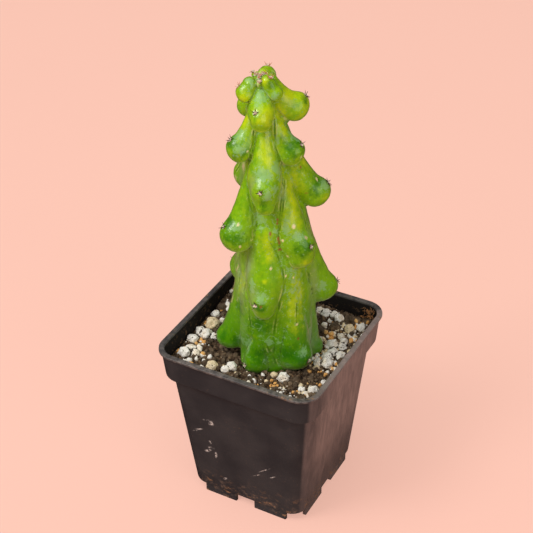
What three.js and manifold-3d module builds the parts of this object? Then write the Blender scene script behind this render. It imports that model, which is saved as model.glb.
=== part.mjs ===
// A potted boobie cactus, the lumpy form of the blue myrtle cactus, in a square nursery pot.
// Millimetres, +Z up. The origin is on the resting surface under the middle of the pot,
// and the pot's sides run along X and Y.
import * as THREE from "three";
import { mergeVertices } from "three/addons/utils/BufferGeometryUtils.js";
import Module from "manifold-3d";

const wasm = await Module();
wasm.setup();

// Pot sizes. Each half is half of an outer width.
const POT_HEIGHT = 95;
const RIM_HALF = 44.5;
const RIM_WIDTH = 2.8;
const RIM_THICKNESS = 1.3;
const RIM_CORNER = 11;
const COLLAR_HEIGHT = 16;
const COLLAR_TOP_HALF = 43.3;
const COLLAR_FOOT_HALF = 42.2;
const COLLAR_STEP = 1.8;
const BODY_TOP_HALF = 39.1;
const BODY_FOOT_HALF = 32.5;
const BODY_CORNER = 9;
const WALL = 1.4;
const FLOOR = 1.8;
const FOOT_HEIGHT = 5.5;
const FOOT_HALF = 31.8;
const FOOT_WALL = 2;
const FOOT_SPAN = 48;
const FOOT_GAP = 10.5;
const DRAIN_RADIUS = 4.5;
const DRAIN_SPREAD = 19;
const CORNER_STEPS = 5;

// Soil sizes.
const SOIL_LEVEL = 82.6;
const SOIL_RISE = 3.4;
const SOIL_CELLS = 30;
const CRUMBS = 150;
const RISE_START = 4;
const RISE_END = 40;
const LEFT_RISE = 2.4;
const LEFT_START = 16;
const ROLL = { height: 0.35, lengthX: 5.3, lengthY: 6.1 };
const CLEARANCE = 0.3;
const STEM_ROOM_GAP = 1.8;
const STEM_ROOM_REACH = 32;

// Cactus sizes. Its frame turns with the side that shows the youngest front lobe.
const FACING = THREE.MathUtils.degToRad(28.9);
const STEM_FOOT = 62;
const CROWN = 233;
const CROWN_RADIUS = 3.8;
const FAN_START = 214;
const FAN_RISE = 8;
const FAN_LIFT = THREE.MathUtils.degToRad(88);
const RAY_REACH = 36;
const RAY_STEPS = 48;
const COLUMNS = 48;
const ROWS = 66;
const FAN_ROWS = 22;
const EVENING_PASSES = 8;
const EVENING_SHARE = 0.125;
const LEAST_STEEPNESS = 0.3;
const SPINE_LENGTH = 2.6;
const SPINE_RADIUS = 0.32;
const SPINE_ROOT = 1.4;

// The stem's core is widest at one height and narrows above and below it.
const CORE_RADIUS = 18.3;
const CORE_WIDEST = 108;
const CORE_TAPER = 0.0127;
const CORE_TAPER_POWER = 1.45;
const CORE_FOOT_TAPER = 0.0033;

// The stem's axis starts right of the middle and leans to the left and back as it rises.
const AXIS_FOOT = 82;
const AXIS_LENGTH = 158;
const AXIS_START = 2;
const LEAN_LEFT = 6;
const LEAN_LEFT_POWER = 1.5;
const LEAN_BACK = 2;

// How a lobe grows: it ages from the youngest height down, hangs further below its neck,
// and turns its tip from upward to outward.
const YOUNGEST = 235;
const AGEING = 145;
const HANG = { start: 0.9, rate: 0.52, from: 236, most: 38 };
const NECK = { reach: 0.55, thickness: 0.56, young: 1.2, youngPower: 6, most: 0.92 };
const TIP_LIFT = 60;
const TIP_LIFT_POWER = 1.5;
const SAG = 0.14;
const SWELL = { shift: 0.45, size: 0.7, merge: 0.4 };
const THICKENING_POWER = 1.15;
const BELLY_SOFTNESS = 0.55;
const CHIN_POWER = 1.7;
const MERGE = { least: 0.45, growth: 2.6, power: 1.25 };

// The lobes, from the crown down: turn from the facing side in degrees, height of the lower
// end, its distance from the axis, the largest radius, and how far the tip is turned aside.
// Some also give what differs from the usual: rise, reach, radius and turn of the neck, lift
// of the tip, sag, where along the lobe its belly and its tip are, how narrow its chin is, and
// how widely it merges with what it grows from.
const LOBES = [
  [-66, 229.2, 8, 4.1, -34, { rise: 4, reach: 5.4, radius: 3.7, lift: 50 }],
  [45, 230.6, 8.4, 3.6, 0, { rise: 5, reach: 5, radius: 3.2, turn: 29, peak: 0.4, lift: 84 }],
  [160, 232.4, 6.4, 4.6, 5],
  [-8, 234.6, 4.8, 1.8, 0],
  [-125, 235.4, 3.6, 1.6, 0],
  [-6, 219.8, 11.2, 6.2, -37, { rise: 11, radius: 3.2, belly: 0.72, chin: 0.82, lift: 56 }],
  [97, 219.8, 13.8, 6.5, 5, { rise: 11.5, radius: 5.8, lift: 42 }],
  [-137, 217, 11, 4.6, 0],
  [-57, 203.6, 14, 5.9, -22, { lift: 52 }],
  [60, 201.2, 12.5, 6.3, 8, { turn: 44 }],
  [172, 204, 13.5, 6, 0],
  [-6, 180, 18, 8, -9, { belly: 0.62, chin: 0.56, peak: 0.78, lift: 20 }],
  [94, 175.2, 21.2, 7, 0, { radius: 7, lift: 38 }],
  [-136, 180, 14, 6.4, 0],
  [-57, 159, 18.8, 7.8, -16, { reach: 4.6, radius: 4.8, lift: 44 }],
  [50, 149.4, 17.3, 8.5, -7, { turn: 34, belly: 0.78, chin: 0.82, peak: 0.88, lift: 18 }],
  [170, 155, 18.5, 8, 0],
  [-15.5, 122.4, 19, 9.7, -20, { belly: 0.58, chin: 0.52, peak: 0.9, lift: 14, sag: 0.24 }],
  [97, 120.2, 22.9, 7.4, 0, { rise: 48, reach: 8.4, radius: 8.6, lift: 17 }],
  [-132, 126, 17, 8.4, 0],
  [-86, 94, 22.4, 6.6, -5, { radius: 9, merge: 4 }],
  [34, 91, 14.6, 8.6, 15, { rise: 50, reach: 8, radius: 8.6, merge: 4.5 }],
  [165, 93, 19, 7.8, 0, { radius: 9.5, merge: 4.5 }],
  [-42, 87, 13.6, 8, -5, { radius: 9, reach: 10, merge: 5 }],
  [90, 86, 16.6, 6, 0, { radius: 8, reach: 11, merge: 4.5 }],
  [-135, 86, 16, 7.4, 0, { radius: 9, merge: 4.5 }],
];

// Stones: share of two radii between their middles in a heap, height to width,
// share of the radius that the middle stands above the soil, how uneven they are,
// and how many gaps wider than the stone its seat in the soil is.
const STONE_OVERLAP = 0.76;
const STONE_SQUASH = 0.85;
const STONE_STAND = 0.45;
const STONE_LEAST = 0.95;
const STONE_UNEVEN = 0.25;
const SEAT_GROWTH = 1.3;

// Stones on the soil, in heaps that hold together: x, y and radius of each stone.
const HEAPS = {
  perlite_right: [
    [27.4, 13.7, 3.6], [30.4, 8, 3], [33.9, 9, 2.8], [33.8, 15.6, 2.5], [30.6, 20.2, 2.4],
    [26.8, 22.6, 2.2], [28.4, 3, 2.9], [31.6, -2, 3.3], [24.8, -1.4, 2.6],
  ],
  perlite_back: [[13.9, 34, 2.8], [9.6, 34.8, 2.5], [18, 34.4, 2.4], [21.4, 33.2, 2.8]],
  perlite_left: [[-33.8, -9.2, 3.2], [-37.4, -8.2, 2.7], [-29.8, -8.4, 2.3]],
  perlite_wall: [[-37.4, -16, 2.9]],
  perlite_corner: [
    [-35.4, -27.4, 3.2], [-34.4, -22.8, 2.9], [-31.4, -20.8, 2.2], [-30.2, -25, 2.3],
  ],
  perlite_near: [[-10.4, -23.4, 2.9], [-12.6, -27.2, 2.1]],
  perlite_front: [[34.1, -21.1, 2.8]],
  perlite_stone: [[16.8, -19.4, 3]],
  perlite_rear: [[-37.6, 7.8, 2.4]],
  perlite_far: [[35, 31.4, 2.5]],
  pumice_left: [[-34.6, -0.6, 4]],
  pumice_right: [[30.2, 27.8, 3]],
  pumice_near: [[-19, -28.2, 3.1]],
};

const COLOURS = {
  pot: 0x2d2a29,
  soil: 0x3a2a20,
  cactus: 0x5f9a1e,
  perlite: 0xe6e0d6,
  pumice: 0xc9ae84,
};

// Numbers from 0 to 1 that are the same on every run.
function seededDraws(seed) {
  let state = seed;
  return () => {
    state = (Math.imul(state, 1664525) + 1013904223) >>> 0;
    return state / 4294967296;
  };
}

function blend(low, high, t) {
  return low + (high - low) * t;
}

function smoothStep(low, high, value) {
  return THREE.MathUtils.smoothstep(value, low, high);
}

// Solid from positions only, with shared vertices merged.
function solidFrom(geometry) {
  const bare = new THREE.BufferGeometry();
  bare.setAttribute("position", geometry.getAttribute("position"));
  if (geometry.index) bare.setIndex(geometry.index);
  const merged = mergeVertices(bare, 1e-5);
  const mesh = new wasm.Mesh({
    numProp: 3,
    vertProperties: new Float32Array(merged.getAttribute("position").array),
    triVerts: new Uint32Array(merged.index.array),
  });
  return new wasm.Manifold(mesh);
}

// Largest body of a solid: hollows that a join sealed are filled and loose scraps dropped.
function mainBody(solid) {
  return solid.decompose().reduce((most, piece) => (piece.volume() > most.volume() ? piece : most));
}

function geometryFrom(solid) {
  const mesh = solid.getMesh();
  const geometry = new THREE.BufferGeometry();
  geometry.setAttribute("position", new THREE.BufferAttribute(mesh.vertProperties, 3));
  geometry.setIndex(new THREE.BufferAttribute(mesh.triVerts, 1));
  geometry.computeVertexNormals();
  return geometry;
}

// Closed skin over rings of points from bottom to top, all rings with the same count.
function skinRings(rings) {
  const count = rings[0].length;
  const points = rings.flat();
  const faces = [];
  for (let row = 0; row < rings.length - 1; row += 1) {
    for (let i = 0; i < count; i += 1) {
      const next = (i + 1) % count;
      const a = row * count + i;
      const b = row * count + next;
      faces.push(a, b, b + count, a, b + count, a + count);
    }
  }
  for (const [ring, start] of [[rings[0], 0], [rings.at(-1), (rings.length - 1) * count]]) {
    const middle = ring.reduce((sum, p) => sum.add(p), new THREE.Vector3()).divideScalar(count);
    points.push(middle);
    for (let i = 0; i < count; i += 1) {
      const a = start + i;
      const b = start + ((i + 1) % count);
      if (start === 0) faces.push(points.length - 1, b, a);
      else faces.push(points.length - 1, a, b);
    }
  }
  const geometry = new THREE.BufferGeometry().setFromPoints(points);
  geometry.setIndex(faces);
  return geometry;
}

// Ring of a square with round corners at one height.
function squareRing(half, corner, z) {
  const ring = [];
  for (let side = 0; side < 4; side += 1) {
    const middle = Math.PI / 4 + (side * Math.PI) / 2;
    const cx = Math.sign(Math.cos(middle)) * (half - corner);
    const cy = Math.sign(Math.sin(middle)) * (half - corner);
    for (let i = 0; i <= CORNER_STEPS; i += 1) {
      const angle = middle - Math.PI / 4 + ((i / CORNER_STEPS) * Math.PI) / 2;
      ring.push(new THREE.Vector3(cx + corner * Math.cos(angle), cy + corner * Math.sin(angle), z));
    }
  }
  return ring;
}

function squareSolid(levels) {
  return solidFrom(skinRings(levels.map(([half, corner, z]) => squareRing(half, corner, z))));
}

function boxSolid(width, depth, height, x, y, z) {
  const box = new THREE.BoxGeometry(width, depth, height);
  box.translate(x, y, z);
  return solidFrom(box);
}

// Inner face of the pot from the floor to the mouth, drawn in by a gap.
const COLLAR_FOOT = POT_HEIGHT - COLLAR_HEIGHT;
const FLOOR_TOP = FOOT_HEIGHT + FLOOR;
function innerLevels(gap, bottom, top) {
  const inset = WALL + gap;
  const mouth = RIM_HALF - RIM_WIDTH - gap;
  return [
    [BODY_FOOT_HALF - inset, BODY_CORNER - WALL, bottom],
    [BODY_TOP_HALF - inset, BODY_CORNER - WALL, COLLAR_FOOT - COLLAR_STEP + gap / 2],
    [COLLAR_FOOT_HALF - inset, RIM_CORNER - RIM_WIDTH, COLLAR_FOOT + 1.5 * gap],
    [mouth, RIM_CORNER - RIM_WIDTH, top],
  ];
}

function makePot() {
  const rimFoot = POT_HEIGHT - RIM_THICKNESS;
  const outer = squareSolid([
    [BODY_FOOT_HALF, BODY_CORNER, FOOT_HEIGHT],
    [BODY_TOP_HALF, BODY_CORNER, COLLAR_FOOT - COLLAR_STEP],
    [COLLAR_FOOT_HALF, RIM_CORNER - 1, COLLAR_FOOT],
    [COLLAR_TOP_HALF, RIM_CORNER - 1, rimFoot - 0.4],
    [RIM_HALF, RIM_CORNER, rimFoot],
    [RIM_HALF, RIM_CORNER, POT_HEIGHT],
  ]);
  let pot = outer.subtract(squareSolid(innerLevels(0, FLOOR_TOP, POT_HEIGHT + 1)));
  for (let turn = 0; turn < 4; turn += 1) {
    for (const side of [-1, 1]) {
      const length = (FOOT_SPAN - FOOT_GAP) / 2;
      const along = (side * (FOOT_GAP + length)) / 2;
      const out = FOOT_HALF - FOOT_WALL / 2;
      const foot = boxSolid(length, FOOT_WALL, FOOT_HEIGHT + 1, along, -out, (FOOT_HEIGHT + 1) / 2);
      pot = pot.add(foot.rotate([0, 0, turn * 90]));
    }
    const drain = new THREE.CylinderGeometry(DRAIN_RADIUS, DRAIN_RADIUS, 3 * FLOOR, 16);
    drain.rotateX(Math.PI / 2);
    drain.translate(DRAIN_SPREAD, DRAIN_SPREAD, FOOT_HEIGHT + FLOOR / 2);
    pot = pot.subtract(solidFrom(drain).rotate([0, 0, turn * 90]));
  }
  return pot;
}

// Shape of the cactus, in its own frame: x to the right of the facing side, y toward it.
function coreRadius(z) {
  const above = CORE_TAPER * Math.max(z - CORE_WIDEST, 0) ** CORE_TAPER_POWER;
  const below = CORE_FOOT_TAPER * Math.max(CORE_WIDEST - z, 0) ** 2;
  return CORE_RADIUS - above - below;
}

function axisAt(z) {
  const t = THREE.MathUtils.clamp((z - AXIS_FOOT) / AXIS_LENGTH, -1, 1.1);
  const left = LEAN_LEFT * Math.max(t, 0) ** LEAN_LEFT_POWER;
  return [AXIS_START - left, AXIS_START - LEAN_BACK * t];
}

function onStem(turn, reach, z) {
  const [x, y] = axisAt(z);
  const angle = THREE.MathUtils.degToRad(turn);
  return new THREE.Vector3(x + reach * Math.sin(angle), y + reach * Math.cos(angle), z);
}

// How far a lobe hangs below its neck, and how thick its neck is, unless its list says.
function usualHang(height) {
  return Math.min(HANG.most, HANG.start + HANG.rate * (HANG.from - height));
}

function usualThickness(core, age, radius) {
  const thickness = NECK.thickness * core + NECK.young * (1 - age) ** NECK.youngPower;
  return Math.min(thickness, NECK.most * radius);
}

// A lobe hangs from a narrow neck on the stem, and its tip looks up and out.
// Older lobes, lower down, hang from higher, look less upward and merge more softly.
function makeLobe([turn, height, reach, radius, tipTurn, own = {}]) {
  const age = THREE.MathUtils.clamp((YOUNGEST - height) / AGEING, 0, 1);
  const neckHeight = height + (own.rise ?? usualHang(height));
  const core = coreRadius(neckHeight);
  const neckReach = own.reach ?? NECK.reach * core;
  const neckRadius = own.radius ?? usualThickness(core, age, radius);
  const neck = onStem(own.turn ?? turn, neckReach, neckHeight);
  const run = onStem(turn, reach, height).sub(neck);
  const sagging = (own.sag ?? SAG) * Math.max(reach - neckReach, 0);
  const lift = THREE.MathUtils.degToRad(own.lift ?? TIP_LIFT * (1 - age) ** TIP_LIFT_POWER);
  const angle = THREE.MathUtils.degToRad(turn + tipTurn);
  const tip = new THREE.Vector3(
    Math.sin(angle) * Math.cos(lift),
    Math.cos(angle) * Math.cos(lift),
    Math.sin(lift),
  );
  const lobe = {
    neck,
    run,
    tip,
    radius,
    neckRadius,
    belly: own.belly ?? 1,
    chin: own.chin ?? 1,
    sag: new THREE.Vector3(run.x, run.y, 0).setLength(sagging),
    merge: own.merge ?? MERGE.least + MERGE.growth * age ** MERGE.power,
  };
  const peak = own.peak ?? 1;
  lobe.peakRadius = thicknessAt(lobe, peak);
  lobe.middle = neck.clone().addScaledVector(run, peak);
  lobe.swell = lobe.middle.clone().addScaledVector(tip, SWELL.shift * lobe.peakRadius);
  return lobe;
}

// Radius of a lobe along its run: it grows to its belly and narrows again to its chin.
function thicknessAt(lobe, t) {
  const grown = Math.min(t / lobe.belly, 1);
  const soft = blend(grown ** 2 * (3 - 2 * grown), grown * (2 - grown), 1 - BELLY_SOFTNESS);
  const growth = lobe.belly < 1 ? soft : grown ** THICKENING_POWER;
  const past = Math.max(t - lobe.belly, 0) / Math.max(1 - lobe.belly, 1e-9);
  const narrowing = 1 - (1 - lobe.chin) * past ** CHIN_POWER;
  return blend(lobe.neckRadius, lobe.radius, growth) * narrowing;
}

const lobes = LOBES.map(makeLobe);

// Smooth joining of two distances.
function join(a, b, width) {
  const h = THREE.MathUtils.clamp(0.5 + (0.5 * (b - a)) / width, 0, 1);
  return blend(b, a, h) - width * h * (1 - h);
}

function lobeDistance(point, lobe) {
  const offset = point.clone().sub(lobe.neck);
  const t = THREE.MathUtils.clamp(offset.dot(lobe.run) / lobe.run.lengthSq(), 0, 1);
  offset.addScaledVector(lobe.run, -t).addScaledVector(lobe.sag, 4 * t * (1 - t));
  const body = offset.length() - thicknessAt(lobe, t);
  const swell = point.distanceTo(lobe.swell) - SWELL.size * lobe.peakRadius;
  return join(body, swell, SWELL.merge * lobe.peakRadius);
}

// Distance to the skin of the plain stem, and of the whole plant.
function stemDistance(point) {
  const [x, y] = axisAt(point.z);
  const out = Math.hypot(point.x - x, point.y - y);
  if (point.z < CROWN) return out - coreRadius(point.z);
  return Math.hypot(out, point.z - CROWN) - CROWN_RADIUS;
}

function plantDistance(point) {
  let distance = stemDistance(point);
  for (const lobe of lobes) distance = join(distance, lobeDistance(point, lobe), lobe.merge);
  return distance;
}

// Outermost place on a ray where the distance falls to the level.
function skinAlong(start, direction, reach, level) {
  const at = (r) => start.clone().addScaledVector(direction, r);
  let inside = 0;
  for (let i = RAY_STEPS - 1; i > 0; i -= 1) {
    inside = (reach * i) / RAY_STEPS;
    if (plantDistance(at(inside)) < level) break;
  }
  let outside = inside + reach / RAY_STEPS;
  for (let i = 0; i < 12; i += 1) {
    const middle = (inside + outside) / 2;
    if (plantDistance(at(middle)) < level) inside = middle;
    else outside = middle;
  }
  return at(inside);
}

// One ring of skin at a height, its rays tilted up by a lift.
function skinRing(z, lift, reach, level) {
  const [x, y] = axisAt(z);
  const ring = [];
  for (let i = 0; i < COLUMNS; i += 1) {
    const angle = (i / COLUMNS) * 2 * Math.PI;
    const direction = new THREE.Vector3(
      Math.cos(angle) * Math.cos(lift),
      Math.sin(angle) * Math.cos(lift),
      Math.sin(lift),
    );
    ring.push(skinAlong(new THREE.Vector3(x, y, z), direction, reach, level));
  }
  return ring;
}

// Evens out the spacing of the rings' points and sets each one back on the skin.
function evenOut(rings) {
  const step = 0.05;
  const axes = [[step, 0, 0], [0, step, 0], [0, 0, step]].map((axis) => new THREE.Vector3(...axis));
  return rings.map((ring, row) => {
    if (row === 0 || row === rings.length - 1) return ring;
    return ring.map((point, i) => {
      const around = [
        rings[row - 1][i],
        rings[row + 1][i],
        ring[(i + 1) % COLUMNS],
        ring[(i + COLUMNS - 1) % COLUMNS],
      ];
      const moved = point.clone().multiplyScalar(1 - 4 * EVENING_SHARE);
      for (const neighbour of around) moved.addScaledVector(neighbour, EVENING_SHARE);
      const distance = plantDistance(moved);
      const slope = axes.map((axis) => (plantDistance(moved.clone().add(axis)) - distance) / step);
      const steepness = Math.max(slope[0] ** 2 + slope[1] ** 2 + slope[2] ** 2, LEAST_STEEPNESS);
      return moved.addScaledVector(new THREE.Vector3(...slope), -distance / steepness);
    });
  });
}

// Turns the cactus's frame to the pot's frame.
function turnToPot(geometry) {
  const toward = new THREE.Vector3(Math.sin(FACING), -Math.cos(FACING), 0);
  const right = new THREE.Vector3(Math.cos(FACING), Math.sin(FACING), 0);
  const matrix = new THREE.Matrix4().makeBasis(right, toward, new THREE.Vector3(0, 0, 1));
  const turned = geometry.clone().applyMatrix4(matrix);
  const index = turned.index.array;
  for (let i = 0; i < index.length; i += 3) [index[i], index[i + 1]] = [index[i + 1], index[i]];
  return turned;
}

function makeSkin() {
  let rings = [];
  for (let row = 0; row < ROWS; row += 1) {
    rings.push(skinRing(blend(STEM_FOOT, FAN_START, row / ROWS), 0, RAY_REACH, 0));
  }
  for (let row = 0; row < FAN_ROWS; row += 1) {
    const t = row / (FAN_ROWS - 1);
    rings.push(skinRing(FAN_START + FAN_RISE * t, FAN_LIFT * t, RAY_REACH, 0));
  }
  for (let pass = 0; pass < EVENING_PASSES; pass += 1) rings = evenOut(rings);
  return solidFrom(turnToPot(skinRings(rings)));
}

// Short spines that spread from the tip of a lobe, with their roots sunk in it.
function tipSpines(lobe, draw) {
  const areole = skinAlong(lobe.middle, lobe.tip, 2 * lobe.radius, 0);
  const count = lobe.radius < 3 ? 2 : 3;
  const aside = new THREE.Vector3(0, 0, 1).cross(lobe.tip).normalize();
  const start = draw() * Math.PI;
  let spines = null;
  for (let i = 0; i < count; i += 1) {
    const length = SPINE_LENGTH * (0.75 + 0.5 * draw());
    const spine = new THREE.ConeGeometry(SPINE_RADIUS, length + SPINE_ROOT, 3);
    spine.translate(0, (length - SPINE_ROOT) / 2, 0);
    const lean = new THREE.Quaternion().setFromAxisAngle(aside, 0.5 + 0.3 * draw());
    const spread = new THREE.Quaternion().setFromAxisAngle(lobe.tip, start + (i * 2 * Math.PI) / count);
    const direction = lobe.tip.clone().applyQuaternion(lean).applyQuaternion(spread);
    spine.applyQuaternion(new THREE.Quaternion().setFromUnitVectors(new THREE.Vector3(0, 1, 0), direction));
    spine.translate(areole.x, areole.y, areole.z);
    const solid = solidFrom(turnToPot(spine));
    spines = spines ? spines.add(solid) : solid;
  }
  return spines;
}

function makeCactus() {
  const draw = seededDraws(11);
  return mainBody(lobes.reduce((body, lobe) => body.add(tipSpines(lobe, draw)), makeSkin()));
}

// Room for the stem in the soil: straight above, and as wide as the lobes that rest in it.
function makeStemRoom() {
  const level = STEM_ROOM_GAP * CLEARANCE;
  const heights = [60, 70, 76, 78, 80, 82, 84, 86, 88, 90];
  const rings = heights.map((z) => skinRing(z, 0, STEM_ROOM_REACH, level));
  rings.unshift(rings[0].map((point) => point.clone().setZ(STEM_FOOT - CLEARANCE)));
  rings.splice(1, 1);
  return solidFrom(turnToPot(skinRings(rings)));
}

// Soil surface: a level that rises to the back and left walls, with crumbs as small domes.
function makeCrumbs() {
  const draw = seededDraws(5);
  return Array.from({ length: CRUMBS }, () => ({
    x: blend(-40, 40, draw()),
    y: blend(-40, 40, draw()),
    radius: blend(1.8, 4.4, draw() ** 2),
    height: blend(0.4, 1.3, draw()),
  }));
}

const crumbs = makeCrumbs();

function soilLevel(x, y) {
  const back = SOIL_RISE * smoothStep(RISE_START, RISE_END, y);
  return SOIL_LEVEL + back + LEFT_RISE * smoothStep(LEFT_START, RISE_END, -x);
}

function soilHeight(x, y) {
  const roll = ROLL.height * Math.sin(x / ROLL.lengthX + 1) * Math.sin(y / ROLL.lengthY);
  let height = 0;
  for (const crumb of crumbs) {
    const near = 1 - ((x - crumb.x) ** 2 + (y - crumb.y) ** 2) / crumb.radius ** 2;
    if (near > 0) height = Math.max(height, crumb.height * Math.sqrt(near));
  }
  return soilLevel(x, y) + roll + height;
}

function makeSoilBlock() {
  const half = RIM_HALF - 1;
  const surface = new THREE.BoxGeometry(2 * half, 2 * half, 2, SOIL_CELLS, SOIL_CELLS, 1);
  surface.deleteAttribute("normal");
  surface.deleteAttribute("uv");
  const merged = mergeVertices(surface, 1e-4);
  const position = merged.getAttribute("position");
  for (let i = 0; i < position.count; i += 1) {
    const isTop = position.getZ(i) > 0;
    position.setZ(i, isTop ? soilHeight(position.getX(i), position.getY(i)) : 0);
  }
  return solidFrom(merged);
}

// An uneven stone, larger by a gap when it is used to press its seat into the soil.
function makeStone([x, y, radius], seed, gap) {
  const draw = seededDraws(seed);
  const round = new THREE.IcosahedronGeometry(1, 0);
  round.deleteAttribute("normal");
  round.deleteAttribute("uv");
  const stone = mergeVertices(round, 1e-4);
  const position = stone.getAttribute("position");
  const point = new THREE.Vector3();
  for (let i = 0; i < position.count; i += 1) {
    const size = (radius + SEAT_GROWTH * gap) * (STONE_LEAST + STONE_UNEVEN * draw());
    point.fromBufferAttribute(position, i).multiplyScalar(size);
    position.setXYZ(i, point.x, point.y, point.z * STONE_SQUASH);
  }
  stone.rotateZ(draw() * Math.PI);
  stone.translate(x, y, soilLevel(x, y) + STONE_STAND * radius);
  return solidFrom(stone);
}

// Draws each stone up to the nearest one before it, so that the heap holds together.
function drawTogether(stones) {
  const placed = [];
  for (const [x, y, radius] of stones) {
    const spacing = (other) => Math.hypot(other[0] - x, other[1] - y) / (STONE_OVERLAP * (other[2] + radius));
    const closer = (best, other) => (spacing(other) < spacing(best) ? other : best);
    const nearest = placed.reduce(closer, placed[0]);
    const spread = nearest ? Math.max(spacing(nearest), 1) : 1;
    const [nearX, nearY] = nearest ?? [x, y];
    placed.push([nearX + (x - nearX) / spread, nearY + (y - nearY) / spread, radius]);
  }
  return placed;
}

function makeHeap(stones, gap) {
  const solids = drawTogether(stones).map((stone, i) => makeStone(stone, 5000 + 37 * i, gap));
  return solids.reduce((heap, stone) => heap.add(stone));
}

function makeSoil() {
  let soil = makeSoilBlock();
  soil = soil.intersect(squareSolid(innerLevels(CLEARANCE, FLOOR_TOP + CLEARANCE, POT_HEIGHT + 1)));
  soil = soil.subtract(makeStemRoom());
  for (const stones of Object.values(HEAPS)) soil = soil.subtract(makeHeap(stones, CLEARANCE));
  return mainBody(soil);
}

function addPart(group, name, solid, colour, roughness) {
  const material = new THREE.MeshStandardMaterial({ color: colour, roughness, metalness: 0 });
  const mesh = new THREE.Mesh(geometryFrom(solid), material);
  mesh.name = name;
  group.add(mesh);
}

const plant = new THREE.Group();
addPart(plant, "pot", makePot(), COLOURS.pot, 0.5);
addPart(plant, "soil", makeSoil(), COLOURS.soil, 0.95);
addPart(plant, "cactus", makeCactus(), COLOURS.cactus, 0.4);
for (const [name, stones] of Object.entries(HEAPS)) {
  const colour = name.startsWith("pumice") ? COLOURS.pumice : COLOURS.perlite;
  addPart(plant, name, makeHeap(stones, 0), colour, 0.9);
}

export default plant;
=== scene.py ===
"""A potted boobie cactus: lumpy green skin with spiny areoles, in a pot of gritty soil.

Every size is in millimetres until a mesh is made, and every mesh is in metres in the CAD frame.
"""

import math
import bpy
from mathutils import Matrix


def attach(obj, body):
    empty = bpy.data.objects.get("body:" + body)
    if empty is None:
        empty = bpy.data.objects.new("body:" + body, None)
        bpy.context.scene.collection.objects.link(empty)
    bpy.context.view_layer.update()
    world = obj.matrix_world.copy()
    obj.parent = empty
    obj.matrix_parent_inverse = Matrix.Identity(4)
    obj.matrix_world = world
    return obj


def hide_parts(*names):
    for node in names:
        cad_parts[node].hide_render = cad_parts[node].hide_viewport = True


bl_info = {
    "name": "Potted boobie cactus",
    "version": (1, 0, 0),
    "blender": (4, 5, 0),
    "location": "3D View > Sidebar > Cactus",
    "description": "Builds a lumpy cactus, its pot, its soil and its grit on the CAD frame",
    "category": "Add Mesh",
}

import bmesh
import bpy
import numpy as np
from mathutils import Matrix, Vector, bvhtree, kdtree, noise

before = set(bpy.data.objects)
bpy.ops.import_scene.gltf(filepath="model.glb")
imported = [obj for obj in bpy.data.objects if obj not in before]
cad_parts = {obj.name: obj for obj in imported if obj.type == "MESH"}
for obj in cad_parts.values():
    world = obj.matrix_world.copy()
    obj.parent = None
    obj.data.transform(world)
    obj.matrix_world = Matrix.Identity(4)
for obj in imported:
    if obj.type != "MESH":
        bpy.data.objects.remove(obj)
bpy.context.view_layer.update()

MM = 0.001

# The pot, as half widths and heights.
POT_HEIGHT = 95.0
RIM_HALF = 44.5
RIM_WIDTH = 2.8
RIM_THICKNESS = 1.3
RIM_CORNER = 11.0
COLLAR_TOP_HALF = 43.3
COLLAR_FOOT_HALF = 42.2
COLLAR_FOOT = 79.0
COLLAR_STEP = 1.8
BODY_TOP_HALF = 39.1
BODY_FOOT_HALF = 32.5
BODY_CORNER = 9.0
WALL = 1.4
FLOOR_TOP = 7.3
FOOT_HEIGHT = 5.5
FOOT_HALF = 31.8
FOOT_WALL = 2.0
FOOT_SPAN = 48
FOOT_GAP = 10.5
DRAIN_RADIUS = 4.5
DRAIN_SPREAD = 19.0
CORNER_STEPS = 12
SHARP_ANGLE = math.radians(40)

# The soil: its level, how it rises toward the back and the left wall, and its surface.
SOIL_LEVEL = 82.6
SOIL_RISE = 3.4
RISE_START = 4.0
RISE_END = 40.0
LEFT_RISE = 2.4
LEFT_START = 16.0
SOIL_EDGE = 84.5
SOIL_CELLS = 230
CLEARANCE = 0.3
CRUMBS = 150
CRUMB_SPREAD = 40
STONE_VOXEL = 0.22

# The stem: its foot in the soil, its crown, its core and the lean of its axis.
FACING = math.radians(28.9)
STEM_FOOT = 62.0
CROWN = 233.0
CROWN_RADIUS = 3.8
FAN_START = 214.0
FAN_RISE = 8.0
RAY_REACH = 36.0
CORE_RADIUS = 18.3
CORE_WIDEST = 108.0
CORE_TAPER = 0.0127
CORE_TAPER_POWER = 1.45
CORE_FOOT_TAPER = 0.0033
AXIS_FOOT = 82.0
AXIS_LENGTH = 158.0
AXIS_START = 2.0
LEAN_LEFT = 6.0
LEAN_BACK = 2.0

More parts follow.
